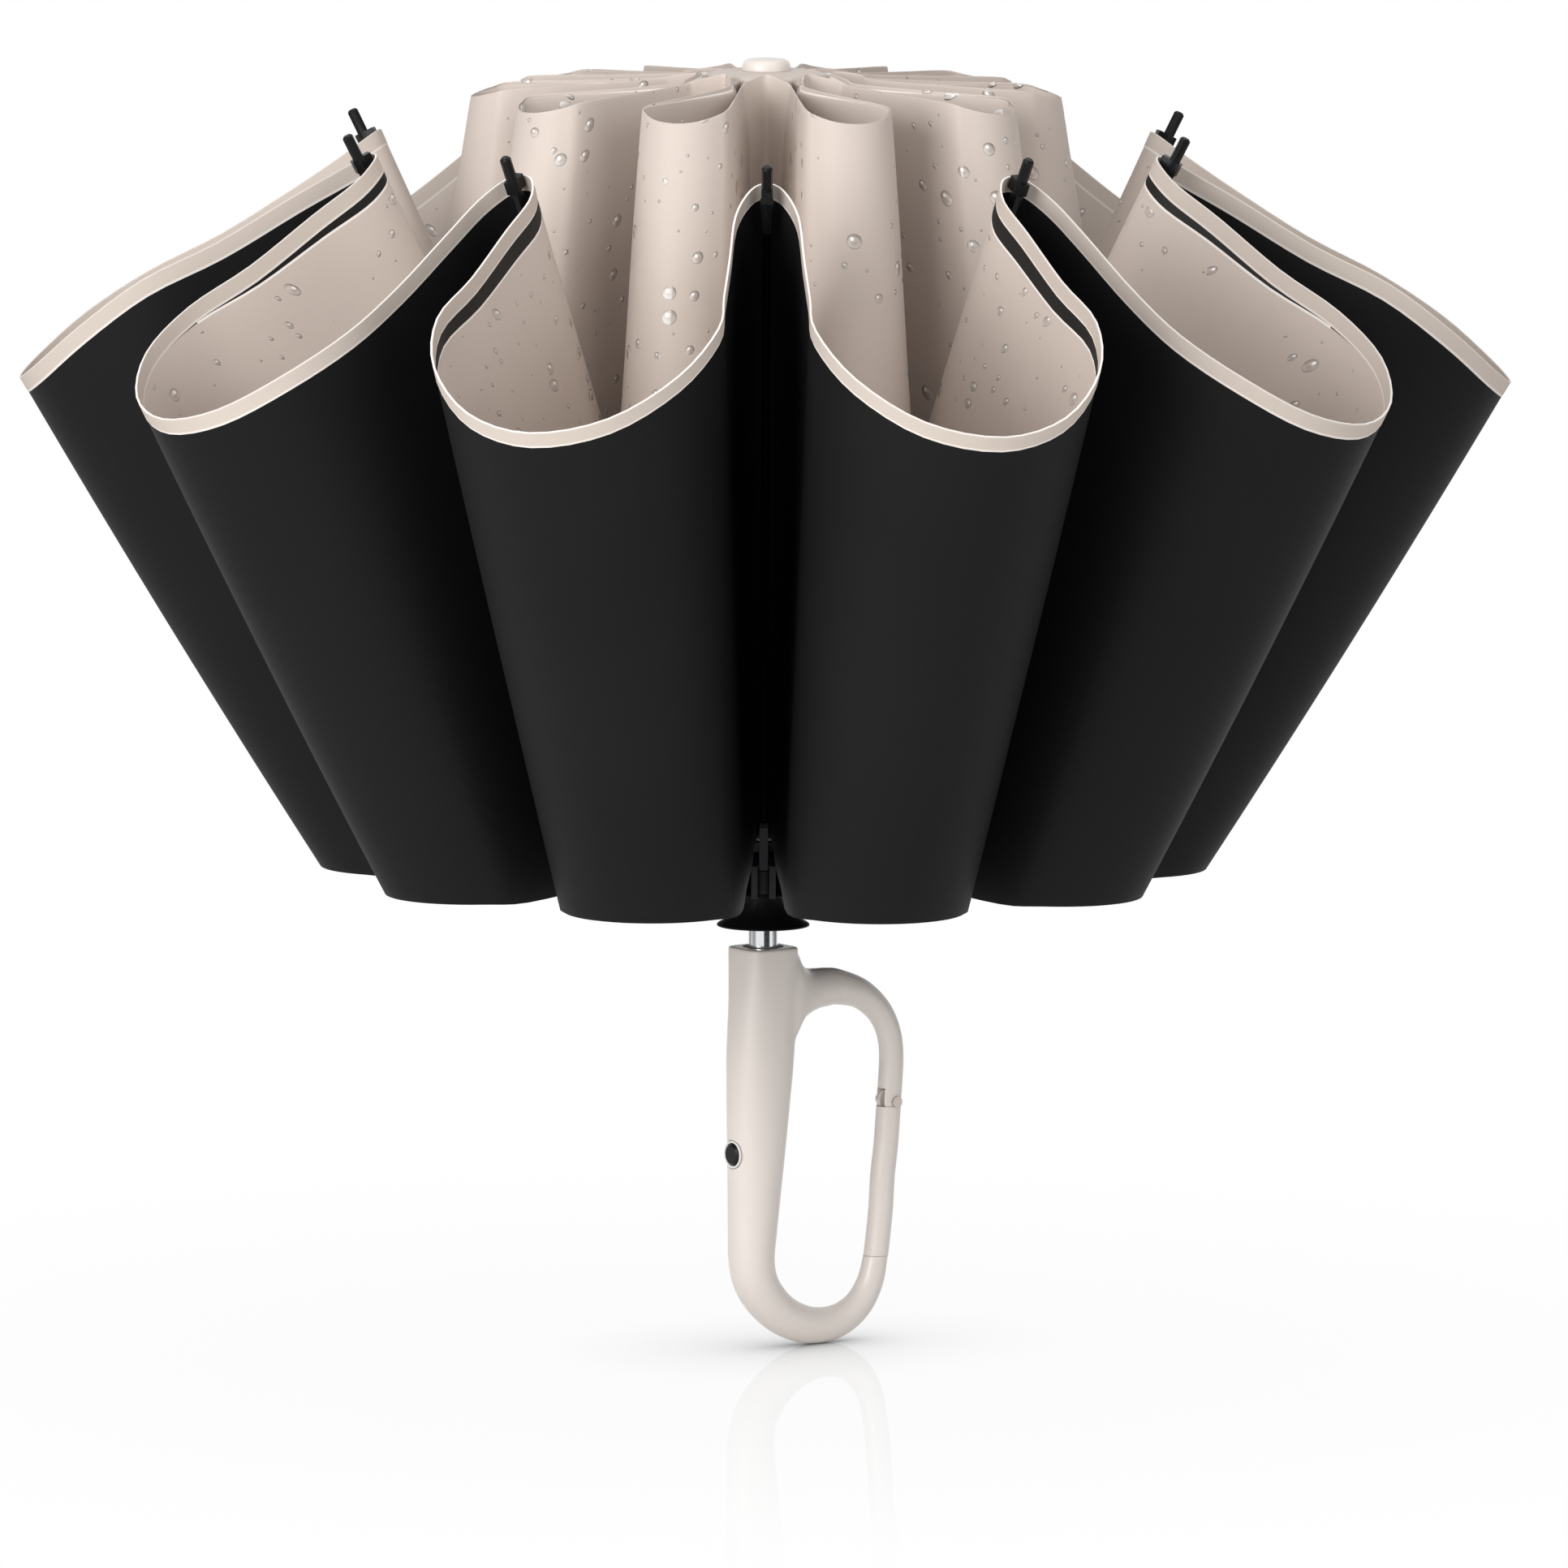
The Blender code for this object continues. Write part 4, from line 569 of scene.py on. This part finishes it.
# The rim stands higher at the front ribs and lower at the rear ones.
near = np.exp(-((fromRim / canopySizes["frontRows"]) ** 2))[:, None]
frontAngle = firstRib + ribStep * frontRib
lift = np.cos(azimuth - frontAngle) * canopySizes["frontRise"] / 1000
innerGrid[..., 2] += lift * atRib * near
# The lining ends a little behind and above the outer cloth's fold, which hides its edge.
tuck = np.exp(-((fromFold / canopySizes["tuckRows"]) ** 2))[:, None]
behind = gridNormals(innerGrid[::-1])[::-1] * tuck[..., None]
innerGrid -= behind * canopySizes["foldTuck"][0] / 1000
innerGrid[..., 2] += tuck * canopySizes["foldTuck"][1] / 1000
# The marks for the material: no hem is near, and a painted highlight runs along the rim's fold.
blank = np.zeros(innerGrid.shape[:2])
rimHighlight = blank + (np.abs(fromRim) <= 1)[:, None]
marks = {"hemDistance": blank + 1.0, "liningEdge": blank, "rimHighlight": rimHighlight[::-1]}
halfCloth = np.full(innerGrid.shape[:2], canopySizes["cloth"] / 2000)
innerCloth = clothPiece(
    "innerCloth", innerGrid[::-1], gridNormals(innerGrid[::-1]), True,
    (beigeCloth, blackCloth, hemTapeHighlight, blackCloth), marks, halfCloth,
    np.arange(ribCount) * (columns - 1) * 2 + columns - 1,
)
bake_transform(innerCloth)

# Outer tier: from the fold up and out along each outer rib to the hem, one piece for
# each rib, from the middle of one lobe to the middle of the next. Its last rows run at
# even distances from the hem, where the binding makes it thicker.
outerSizes = {
    "rows": 44, "belowHem": (9.0, 7.4, 7.0, 6.8, 3.5, 0.6, 0.2, 0.0), "firstStep": 4.0,
    "bulge": 1.2, "bulgeDown": 0.4, "lipIn": 0.8, "lipDown": 0.2,
}
foldSide = halfLine(innerLevels["fold"])[None]
foldLine = allRound([(foldSide, foldSide)])[0]
hemSides = []
for k in range(ribCount):
    flanks = ["front" if rib == frontRib else "side" for rib in (k, k + 1)]
    if "front" in flanks:
        flanks = [flank if flank == "front" else "shared" for flank in flanks]
    if k in outermostLobes:
        flanks[0 if k > frontRib else 1] = "outermost"
    end = hemEnds.get(k, farEnd)
    levels = [(*hemRib, *end, *hemFlank[flank]) for flank in flanks]
    hemSides.append([halfLine(level, "channelDepth")[None] for level in levels])
hemLine = allRound(hemSides)[0]
reach = np.linalg.norm(hemLine - foldLine, axis=1)[None]
below = np.array(outerSizes["belowHem"])[:, None] / 1000
lower = 1 - (below[0] + outerSizes["firstStep"] / 1000) / reach
lower = np.linspace(0, 1, outerSizes["rows"])[:, None] * lower
rise = np.concatenate([lower, 1 - below / reach])[..., None]
outerGrid = foldLine * (1 - rise) + hemLine * rise
angle = np.arctan2(hemLine[:, 1], hemLine[:, 0])
down = np.full(len(angle), -outerSizes["bulgeDown"])
outward = np.stack([np.cos(angle), np.sin(angle), down], axis=-1)
outerGrid = outerGrid + outward * 4 * rise * (1 - rise) * outerSizes["bulge"] / 1000
# The first row turns a little under, so that the fold has a rounded lower edge.
lip = outerGrid[:1] - gridNormals(outerGrid)[:1] * outerSizes["lipIn"] / 1000
lip[..., 2] -= outerSizes["lipDown"] / 1000
outerGrid = np.concatenate([lip, outerGrid])
hemDistance = lengthAlong(outerGrid, 0)
hemDistance = hemDistance[-1:] - hemDistance
fade = canopySizes["bindingFade"] / 1000
binding = np.clip((canopySizes["bindingWidth"] / 1000 - hemDistance) / fade, 0, 1)
halfCloth = (canopySizes["cloth"] / 2 + canopySizes["binding"] * binding) / 1000
perLobe = outerGrid.shape[1] // ribCount
share = (np.arange(outerGrid.shape[1]) % perLobe) / (perLobe / 2)
lobeIndex = np.arange(outerGrid.shape[1]) // perLobe
# The two lobes beside the front rib show a gap above their lining on the flank away from
# it, and the next lobes round show a smaller one: its size and how far it runs.
sagging = {5: (1.0, 1.25), 4: (0.6, 0.7), 6: (1.0, 1.25), 7: (0.6, 0.7)}
sag = np.zeros(outerGrid.shape[1])
for lobe, (size, extent) in sagging.items():
    s = share if lobe < frontRib else 2 - share
    s = np.clip(s / extent, 0, 1)
    sag = np.where(lobeIndex == lobe, size * s**0.5 * (1 - s) ** 1.5, sag)
liningEdge = (canopySizes["bindingWidth"] + 0.2 + canopySizes["liningSag"] * sag) / 1000
marks = {
    "hemDistance": hemDistance,
    "liningEdge": np.broadcast_to(liningEdge, hemDistance.shape),
    "rimHighlight": np.zeros(hemDistance.shape),
}
outerNormals = gridNormals(outerGrid)
# The span over which a piece would change from its rib at the hem to the runner at the fold:
# square to the rib, tilted a little, from one distance off the rib's pivot to the other. Its
# ends are worked out for each piece but not used, so the pieces stay fixed.
blendSpan = (-0.040, 0.075)
blendTilt = 0.10
pull = np.array([math.cos(ribLean), -math.sin(ribLean)])
pull = pull - blendTilt * np.array([math.sin(ribLean), math.cos(ribLean)])
pull = pull / np.linalg.norm(pull)
for k in range(ribCount):
    ribAngle = firstRib + ribStep * k
    part = np.arange(perLobe + 1) + k * perLobe - perLobe // 2
    part = part % outerGrid.shape[1]
    grid = outerGrid[:, part]
    name = f"outerCloth{k + 1:02d}"
    piece = clothPiece(
        name, grid, outerNormals[:, part], False, (blackCloth, beigeCloth, hemTapeHighlight, blackCloth),
        {key: values[:, part] for key, values in marks.items()}, halfCloth[:, part],
        (0, len(part) - 1),
    )
    c, s = math.cos(ribAngle), math.sin(ribAngle)
    ends = [ribPivot + pull * distance for distance in blendSpan]
    start, end = [(p[0] * c, p[0] * s, p[1]) for p in ends]
    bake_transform(piece)
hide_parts("canopy")


# Handle: oval sections through stations, the arm and the grip blended as one moulding.
# Each station is x, z, half width, half depth and how square it is, in millimetres.
handleSizes = {
    "grip": (
        (0.0, 163.0, 11.8, 11.2, 0.58), (0.0, 157.0, 11.9, 11.2, 0.54),
        (0.0, 148.0, 12.4, 11.3, 0.44), (-0.3, 138.1, 13.0, 11.4, 0.30),
        (-1.2, 119.0, 13.5, 11.5, 0.20), (-2.2, 98.9, 12.9, 11.2, 0.10),
        (-3.1, 80.0, 12.0, 10.7, 0.04), (-4.1, 61.0, 10.9, 10.0, 0.0),
        (-4.8, 47.9, 10.0, 9.7, 0.0), (-5.2, 37.5, 9.3, 9.5, 0.0),
        (-3.5, 28.5, 9.0, 9.1, 0.0), (1.5, 20.5, 8.6, 8.6, 0.0),
        (10.0, 13.0, 8.1, 8.0, 0.0), (21.0, 8.2, 7.6, 7.4, 0.0),
        (31.3, 7.2, 7.1, 6.8, 0.0), (40.5, 9.2, 6.5, 6.2, 0.0),
        (48.5, 14.5, 5.9, 5.7, 0.0), (54.0, 23.0, 5.4, 5.3, 0.0),
        (56.5, 32.9, 5.0, 5.0, 0.0), (57.2, 37.0, 5.0, 5.0, 0.0),
    ),
    "arm": (
        (2.0, 143.5, 19.5, 10.0, 0.4), (8.0, 143.5, 19.3, 10.4, 0.4),
        (11.0, 143.5, 19.1, 10.5, 0.4), (12.2, 143.5, 18.4, 10.5, 0.4),
        (12.8, 143.5, 16.6, 10.5, 0.4), (13.3, 143.5, 15.5, 10.4, 0.35),
        (13.9, 143.5, 14.5, 10.3, 0.35), (14.8, 143.5, 13.3, 10.1, 0.3),
        (16.2, 143.5, 11.8, 9.8, 0.25), (18.5, 143.5, 10.2, 9.3, 0.2),
        (22.0, 143.7, 8.9, 8.6, 0.1), (26.0, 144.0, 8.2, 8.0, 0.0),
        (31.0, 144.2, 7.8, 7.5, 0.0),
        (36.0, 143.9, 7.3, 7.0, 0.0), (47.0, 140.7, 6.2, 6.2, 0.0),
        (55.6, 134.6, 5.5, 5.6, 0.0),
        (60.8, 127.6, 5.1, 5.2, 0.0), (63.4, 120.0, 5.0, 5.0, 0.0),
        (64.0, 112.0, 5.0, 5.0, 0.0), (63.5, 103.0, 5.0, 5.0, 0.0),
        (62.9, 95.5, 5.0, 5.0, 0.0), (62.7, 89.0, 5.0, 5.0, 0.0),
    ),
    "gate": (
        (63.0, 96.5, 5.0, 5.0, 0.0), (61.5, 78.1, 5.0, 5.0, 0.0),
        (59.9, 65.5, 5.0, 5.0, 0.0), (59.1, 53.0, 5.0, 5.0, 0.0),
        (58.0, 43.0, 5.0, 5.0, 0.0), (56.3, 30.0, 5.0, 5.0, 0.0),
    ),
    "sides": 56,
    "voxel": 0.00060,
    "softness": 0.5,
    "rounds": 9,
}


def sweep(stations, sides):
    # Closed tube of oval to squarish sections, square to their path in the XZ plane.
    line = throughPoints(np.array(stations), 8)
    ahead = np.gradient(line[:, :2], axis=0)
    ahead /= np.linalg.norm(ahead, axis=1, keepdims=True)
    angle = 2 * np.pi * (np.arange(sides) + 0.5) / sides
    c, s = np.cos(angle)[None], np.sin(angle)[None]
    power = np.clip(1 - line[:, 4:5], 0.3, 1.0)
    wide = np.sign(c) * np.abs(c) ** power * line[:, 2:3]
    deep = np.sign(s) * np.abs(s) ** power * line[:, 3:4]
    x = line[:, 0:1] - ahead[:, 1:2] * wide
    z = line[:, 1:2] + ahead[:, 0:1] * wide
    grid = np.stack([x, deep, z], axis=-1) / 1000.0
    points = np.concatenate([grid.reshape(-1, 3), grid[:1].mean(1), grid[-1:].mean(1)])
    faces = gridFaces(len(line), sides, True)
    ring = np.arange(sides)
    after = (ring + 1) % sides
    first, last = len(points) - 2, len(points) - 1
    start = np.stack([after, ring, np.full(sides, first)], axis=1)
    base = (len(line) - 1) * sides
    end = np.stack([base + ring, base + after, np.full(sides, last)], axis=1)
    return points, [*map(tuple, faces), *map(tuple, start), *map(tuple, end)]


def plainMesh(name, points, faces):
    mesh = bpy.data.meshes.new(name)
    mesh.from_pydata([tuple(p) for p in points], [], faces)
    return mesh


def cutWith(piece, name, mesh):
    cutter = addObject(name, mesh)
    cut = piece.modifiers.new(name, "BOOLEAN")
    cut.operation = "DIFFERENCE"
    cut.solver = "EXACT"
    cut.object = cutter
    return cutter


def finished(piece, helpers=()):
    # Bakes the modifiers, then removes the pieces that only shaped this one.
    bpy.context.view_layer.update()
    graph = bpy.context.evaluated_depsgraph_get()
    mesh = bpy.data.meshes.new_from_object(piece.evaluated_get(graph))
    piece.modifiers.clear()
    piece.data = mesh
    for helper in helpers:
        bpy.data.objects.remove(helper, do_unlink=True)
    return piece


def barrel(radius, length, centre, axis, sides=48):
    turn = Vector(axis).to_track_quat("Z", "Y").to_matrix().to_4x4()
    return spun([(0, length / 2), (radius, length / 2), (radius, -length / 2), (0, -length / 2)],
                sides, Matrix.Translation(centre) @ turn)


def spun(profile, sides, place=Matrix.Identity(4)):
    # A closed turned shape from radius and height, top to bottom down its outside.
    profile = np.array(profile, float)
    angle = 2 * np.pi * np.arange(sides) / sides
    grid = np.stack(
        [profile[:, :1] * np.cos(angle), profile[:, :1] * np.sin(angle),
         np.repeat(profile[:, 1:], sides, axis=1)], axis=-1
    )
    faces = [tuple(f[::-1]) for f in gridFaces(len(profile), sides, True)]
    mesh = plainMesh("turned", grid.reshape(-1, 3), faces)
    mesh.transform(place)
    tool = addObject("turned", mesh)
    weld = tool.modifiers.new("weld", "WELD")
    weld.merge_threshold = 0.000001
    made = finished(tool).data
    bpy.data.objects.remove(tool, do_unlink=True)
    return made


def block(lowest, highest):
    a, b = np.array(lowest), np.array(highest)
    corner = np.array([[i & 1, i >> 1 & 1, i >> 2] for i in range(8)])
    faces = [(0, 2, 3, 1), (4, 5, 7, 6), (0, 1, 5, 4), (2, 6, 7, 3), (0, 4, 6, 2), (1, 3, 7, 5)]
    return plainMesh("block", a + corner * (b - a), faces)


gripPoints, gripFaces = sweep(handleSizes["grip"], handleSizes["sides"])
armPoints, armFaces = sweep(handleSizes["arm"], handleSizes["sides"])
shift = len(gripPoints)
both = np.concatenate([gripPoints, armPoints])
faces = gripFaces + [tuple(i + shift for i in f) for f in armFaces]
handle = addObject("handleShell", plainMesh("handleShell", both, faces))
voxels = handle.modifiers.new("oneMoulding", "REMESH")
voxels.mode = "VOXEL"
voxels.voxel_size = handleSizes["voxel"]
soften = handle.modifiers.new("fillet", "SMOOTH")
soften.factor = handleSizes["softness"]
soften.iterations = handleSizes["rounds"]
finished(handle)
# Where the arm leaves the grip, the two run into each other more softly: centre and half
# width of that zone, and the height and length of its fade at the bottom and the top.
rootSizes = {"centre": 14.0, "half": 11.0, "bottom": (108.0, 12.0), "top": (160.5, 4.0),
             "rounds": 50}
place = np.empty(len(handle.data.vertices) * 3, np.float32)
handle.data.vertices.foreach_get("co", place)
place = place.reshape(-1, 3) * 1000
near = 1 - np.clip(np.abs(place[:, 0] - rootSizes["centre"]) / rootSizes["half"], 0, 1) ** 2
fromBottom = (place[:, 2] - rootSizes["bottom"][0]) / rootSizes["bottom"][1]
fromTop = (rootSizes["top"][0] - place[:, 2]) / rootSizes["top"][1]
weight = np.clip(near * 2, 0, 1) * np.clip(fromBottom, 0, 1) * np.clip(fromTop, 0, 1)
group = handle.vertex_groups.new(name="armRoot")
for level in range(1, 11):
    chosen = np.nonzero(np.rint(weight * 10) == level)[0]
    group.add(chosen.tolist(), level / 10, "REPLACE")
soften = handle.modifiers.new("armRoot", "SMOOTH")
soften.factor = handleSizes["softness"]
soften.iterations = rootSizes["rounds"]
soften.vertex_group = "armRoot"
finished(handle)
handle.vertex_groups.clear()
buttonZ, pinX, pinZ = 0.080033, 0.062912, 0.095518
knuckle = {"arm": 0.0050, "gate": 0.0054}
# Heights of the level cuts where the gate butts against the ring.
ringEnd, gateEnd = 0.03312, 0.03328
pinHole = 0.0018
# Two corners of each box that is cut or added beside the pin, as steps from the pin.
pin = np.array((pinX, 0.0, pinZ))
pinBoxes = {
    "underPin": ((-0.009, -0.009, -0.012), (0.009, 0.009, 0.0)),
    "gateSlot": ((-0.008, -0.0026, -0.009), (0.008, 0.0026, 0.0054)),
    "neck": ((-0.0034, 0.0002, -0.0080), (0.0034, 0.0023, 0.0)),
}


def pinBlock(name):
    lowest, highest = pinBoxes[name]
    return block(pin + lowest, pin + highest)


def armEnd(radius):
    # What lies below the pin, outside a ball round the pin.
    tool = addObject("underPin", pinBlock("underPin"))
    ball = cutWith(tool, "ball", ballMesh(radius, pin))
    mesh = finished(tool, [ball]).data
    bpy.data.objects.remove(tool, do_unlink=True)
    return mesh


def ballMesh(radius, centre):
    angle = np.linspace(0, np.pi, 33)
    profile = np.stack([radius * np.sin(angle), radius * np.cos(angle)], axis=1)
    return spun(profile, 64, Matrix.Translation(centre))


# Radius, length, centre and axis of each bore.
bores = {
    "bushBore": (0.0083, 0.030, (0, 0, 0.1557), (0, 0, 1)),
    "tubeBore": (0.0063, 0.050, (0, 0, 0.1216), (0, 0, 1)),
    "buttonBore": (0.00465, 0.0190, (-0.0083, 0, buttonZ), (1, 0, 0)),
    "ringSeat": (0.0059, 0.0060, (-0.0170, 0, buttonZ), (1, 0, 0)),
}
tools = [cutWith(handle, name, barrel(*bore)) for name, bore in bores.items()]
tools += [
    cutWith(handle, "armEnd", armEnd(knuckle["arm"])),
    cutWith(handle, "pinHole", barrel(pinHole, 0.020, pin, (0, 1, 0))),
    cutWith(handle, "gateSlot", pinBlock("gateSlot")),
    cutWith(handle, "ringEnd", block((0.049, -0.008, ringEnd), (0.064, 0.008, 0.0380))),
]
finished(handle, tools)
gatePoints, gateFaces = sweep(handleSizes["gate"], handleSizes["sides"])
gateShell = addObject("gateShell", plainMesh("gateShell", gatePoints, gateFaces))
tools = [
    cutWith(gateShell, "knuckleRoom", ballMesh(knuckle["gate"], pin)),
    cutWith(gateShell, "overPin", block(
        (0.050, -0.009, pinZ - 0.0021), (0.072, 0.009, pinZ + 0.006)
    )),
    cutWith(gateShell, "level", block((0.046, -0.009, 0.0250), (0.066, 0.009, gateEnd))),
]
finished(gateShell, tools)
tongue = [
    ("neck", pinBlock("neck")),
    ("eye", barrel(0.0044, 0.0021, (pinX, 0.00125, pinZ), (0, 1, 0))),
]
tools = [cutWith(gateShell, name, mesh) for name, mesh in tongue]
for step in gateShell.modifiers:
    step.operation = "UNION"
hole = barrel(pinHole, 0.006, (pinX, 0.001, pinZ), (0, 1, 0))
tools.append(cutWith(gateShell, "tongueHole", hole))
finished(gateShell, tools)
dress(gateShell, beigeHandle, 40)
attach(gateShell, "gate")
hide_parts("gate")
dress(handle, beigeHandle, 40)
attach(handle, "shaft")
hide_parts("handle_body")
print("handle", len(handle.data.polygons))

# Crown cap and runner cup as finely turned pieces, in millimetres: radius, height.
turnedSizes = {
    "crownCap": ("crown_cap", "shaft", beigeHandle, "beige_plastic", (
        (0.0, 519.5), (4.5, 519.45), (7.6, 519.1), (8.9, 518.3), (9.5, 517.2), (9.7, 516.0),
        (9.7, 514.9), (3.0, 514.9), (3.0, 498.1), (0.0, 498.1),
    )),
    "runnerCup": ("runner_cup", "runner", mattBlack, "dark_plastic", (
        (8.4, 184.1), (8.6, 182.2), (9.2, 180.2), (10.5, 177.9), (12.6, 175.9),
        (15.4, 174.0), (17.9, 172.7), (18.55, 172.1), (18.5, 171.6), (17.6, 171.5),
        (13.7, 174.3), (9.6, 177.8), (8.4, 179.2),
    )),
}
for name, (node, body, material, slotName, profile) in turnedSizes.items():
    ring = profile if profile[0][0] == 0 else (*profile, profile[0])
    piece = addObject(name, spun(np.array(ring) / 1000.0, 96))
    dress(piece, material, 50)
    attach(piece, body)
    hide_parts(node)
print("turned pieces", len(turnedSizes))

# CAD pieces that stay: a finish each, welded and smoothed, with fine rounded edges.
finishes = {
    "release_button": blackPlastic, "button_ring": paleRing,
    "shaft_bush": blackPlastic, "top_notch": blackPlastic, "runner": blackPlastic,
    "gate_pin": pinMetal, "gate_spring": chrome, "button_spring": chrome,
    "lower_tube": chrome, "middle_tube": chrome, "upper_tube": chrome,
    "notch_wire": chrome, "runner_wire": chrome, "runner_stop": chrome,
    "drive_spring": blackSteel,
}
edgeSizes = {"weld": 0.00001, "width": 0.0002, "angle": 38}
for name, node in nodes.items():
    if node.hide_render:
        continue
    if name.startswith("rib_tip"):
        material = blackPlastic
    else:
        material = finishes.get(name, blackSteel)
    node.data.materials.clear()
    node.data.materials.append(material)
    old = node.data.attributes.get("custom_normal")
    if old is not None:
        node.data.attributes.remove(old)
    node.data.polygons.foreach_set("use_smooth", np.full(len(node.data.polygons), True))
    weld = node.modifiers.new("weld", "WELD")
    weld.merge_threshold = edgeSizes["weld"]
    edges = node.modifiers.new("edges", "BEVEL")
    edges.width = edgeSizes["width"]
    edges.segments = 2
    edges.limit_method = "ANGLE"
    edges.angle_limit = math.radians(edgeSizes["angle"])
    edges.harden_normals = True
print("finishes", len(finishes))

# Floor: white to the eye, with a painted contact shadow from ambient occlusion close under the
# handle, and a fading reflection.
floorSizes = {
    "half": 0.9, "shadowReach": 0.075, "reflection": 0.16, "fade": (0.02, 0.62),
    "roughness": 0.03,
}
floorPoints = np.array([(-1, -1, 0), (1, -1, 0), (1, 1, 0), (-1, 1, 0)]) * floorSizes["half"]
floorMaterial, tree, shader = newMaterial("whiteSweep")
place = addNode(tree, "ShaderNodeTexCoord").outputs["Object"]
shade = addNode(
    tree, "ShaderNodeAmbientOcclusion", {"Distance": floorSizes["shadowReach"]}, samples=12
).outputs["AO"]
paintedShadowTone = mixColours(tree, shade, linear("#303030"), linear("#FFFFFF"))
glow = addNode(tree, "ShaderNodeEmission", {"Color": paintedShadowTone}).outputs[0]
away = addNode(tree, "ShaderNodeVectorMath", {0: place}, operation="LENGTH").outputs["Value"]
fade = mathNode(tree, "SUBTRACT", 1.0, stepUp(tree, away, *floorSizes["fade"]))
strength = mathNode(tree, "MULTIPLY", fade, floorSizes["reflection"])
mirror = {"Roughness": floorSizes["roughness"]}
mirror = addNode(tree, "ShaderNodeBsdfGlossy", mirror).outputs[0]
seen = addNode(tree, "ShaderNodeMixShader", {0: strength, 1: glow, 2: mirror}).outputs[0]
plain = addNode(tree, "ShaderNodeBsdfDiffuse", {"Color": linear("#F4F4F4")}).outputs[0]
path = addNode(tree, "ShaderNodeLightPath")
toEye = mathNode(tree, "MAXIMUM", path.outputs["Is Camera Ray"], path.outputs["Is Glossy Ray"])
shown = addNode(tree, "ShaderNodeMixShader", {0: toEye, 1: plain, 2: seen}).outputs[0]
tree.links.new(shown, tree.nodes["Material Output"].inputs["Surface"])
floor = showMesh("floor", floorPoints, np.array([[0, 1, 2, 3]]), floorMaterial, False)

# Light: an even white room, and broad soft lamps from the front left, front right, above.
world = bpy.data.worlds.new("room")
bpy.context.scene.world = world
world.use_nodes = True
sky = world.node_tree
background = sky.nodes["Background"]
# The eye sees white. Shiny pieces see white too, with dark flags that give the steel tube
# its stripes: middle and half width as angles from the camera's side, and darkness.
flagSizes = ((0.50, 0.40, 0.97), (1.75, 0.45, 0.80), (-1.75, 0.70, 0.60))
flagEdge = 0.06
roomStrength = 0.46
# Angles in degrees, distances in metres, the lens in millimetres.
cameraSizes = {
    "azimuth": -36.2, "elevation": 7.4, "distance": 8.0, "lens": 459.7, "roll": 0.22,
    "aside": 0.0081, "height": 0.2285,
}
path = addNode(sky, "ShaderNodeLightPath")
toward = addNode(sky, "ShaderNodeTexCoord").outputs["Generated"]
turn = {"Vector": toward, "Angle": -math.radians(cameraSizes["azimuth"])}
turn = addNode(sky, "ShaderNodeVectorRotate", turn, rotation_type="Z_AXIS").outputs[0]
axes = addNode(sky, "ShaderNodeSeparateXYZ", {"Vector": turn})
front = mathNode(sky, "MULTIPLY", axes.outputs["Y"], -1.0)
angle = mathNode(sky, "ARCTAN2", axes.outputs["X"], front)
flags = 1.0
for centre, half, dark in flagSizes:
    inside = stepUp(
        sky, mathNode(sky, "ABSOLUTE", mathNode(sky, "SUBTRACT", angle, centre)),
        half + flagEdge, half - flagEdge,
    )
    shade = mathNode(sky, "SUBTRACT", 1.0, mathNode(sky, "MULTIPLY", inside, dark))
    flags = mathNode(sky, "MULTIPLY", flags, shade)
# Diffuse light from the room, then what shiny pieces see, then white for the camera.
level = {"Value": path.outputs["Is Glossy Ray"], "To Min": roomStrength}
level = addNode(sky, "ShaderNodeMapRange", level)
sky.links.new(flags, level.inputs["To Max"])
level = mathNode(sky, "MAXIMUM", level.outputs["Result"], path.outputs["Is Camera Ray"])
sky.links.new(level, background.inputs["Strength"])
background.inputs["Color"].default_value = (1.0, 1.0, 1.0, 1.0)


def facing(azimuth, elevation):
    # Unit vector towards a viewer at this azimuth and elevation.
    a, e = math.radians(azimuth), math.radians(elevation)
    return Vector((math.sin(a) * math.cos(e), -math.cos(a) * math.cos(e), math.sin(e)))


# Azimuth, elevation, distance, side and power of each lamp.
lampSizes = {
    "keyLeft": (-72.0, 16.0, 1.8, 1.1, 23.0),
    "fillRight": (-4.0, 20.0, 1.8, 1.1, 8.0),
    "top": (-36.0, 84.0, 1.6, 1.4, 7.0),
}
aimPoint = Vector((0, 0, 0.30))
for name, (azimuth, elevation, distance, size, power) in lampSizes.items():
    lamp = bpy.data.lights.new(name, "AREA")
    lamp.shape = "SQUARE"
    lamp.size = size
    lamp.energy = power
    holder = addObject(name, lamp)
    holder.visible_glossy = name != "fillRight"
    back = facing(azimuth, elevation)
    holder.location = aimPoint + back * distance
    holder.rotation_mode = "QUATERNION"
    holder.rotation_quaternion = back.to_track_quat("Z", "Y")

# Camera: far off with a long lens, a little above the ribs' tips.
back = facing(cameraSizes["azimuth"], cameraSizes["elevation"])
right = Matrix.Rotation(math.radians(cameraSizes["azimuth"]), 3, "Z") @ Vector((1, 0, 0))
up = back.cross(right)
target = right * cameraSizes["aside"] + Vector((0, 0, cameraSizes["height"]))
tilt = math.radians(cameraSizes["roll"])
across = right * math.cos(tilt) + up * math.sin(tilt)
upward = up * math.cos(tilt) - right * math.sin(tilt)
lens = bpy.data.cameras.new("camera")
lens.lens = cameraSizes["lens"]
lens.sensor_width = 36.0
lens.clip_start = 0.1
lens.clip_end = 100.0
camera = addObject("camera", lens)
spot = target + back * cameraSizes["distance"]
facingMatrix = Matrix((across, upward, back)).transposed().to_4x4()
camera.matrix_world = Matrix.Translation(spot) @ facingMatrix
bpy.context.scene.camera = camera
bpy.context.scene.view_settings.view_transform = "Standard"
print("camera set")
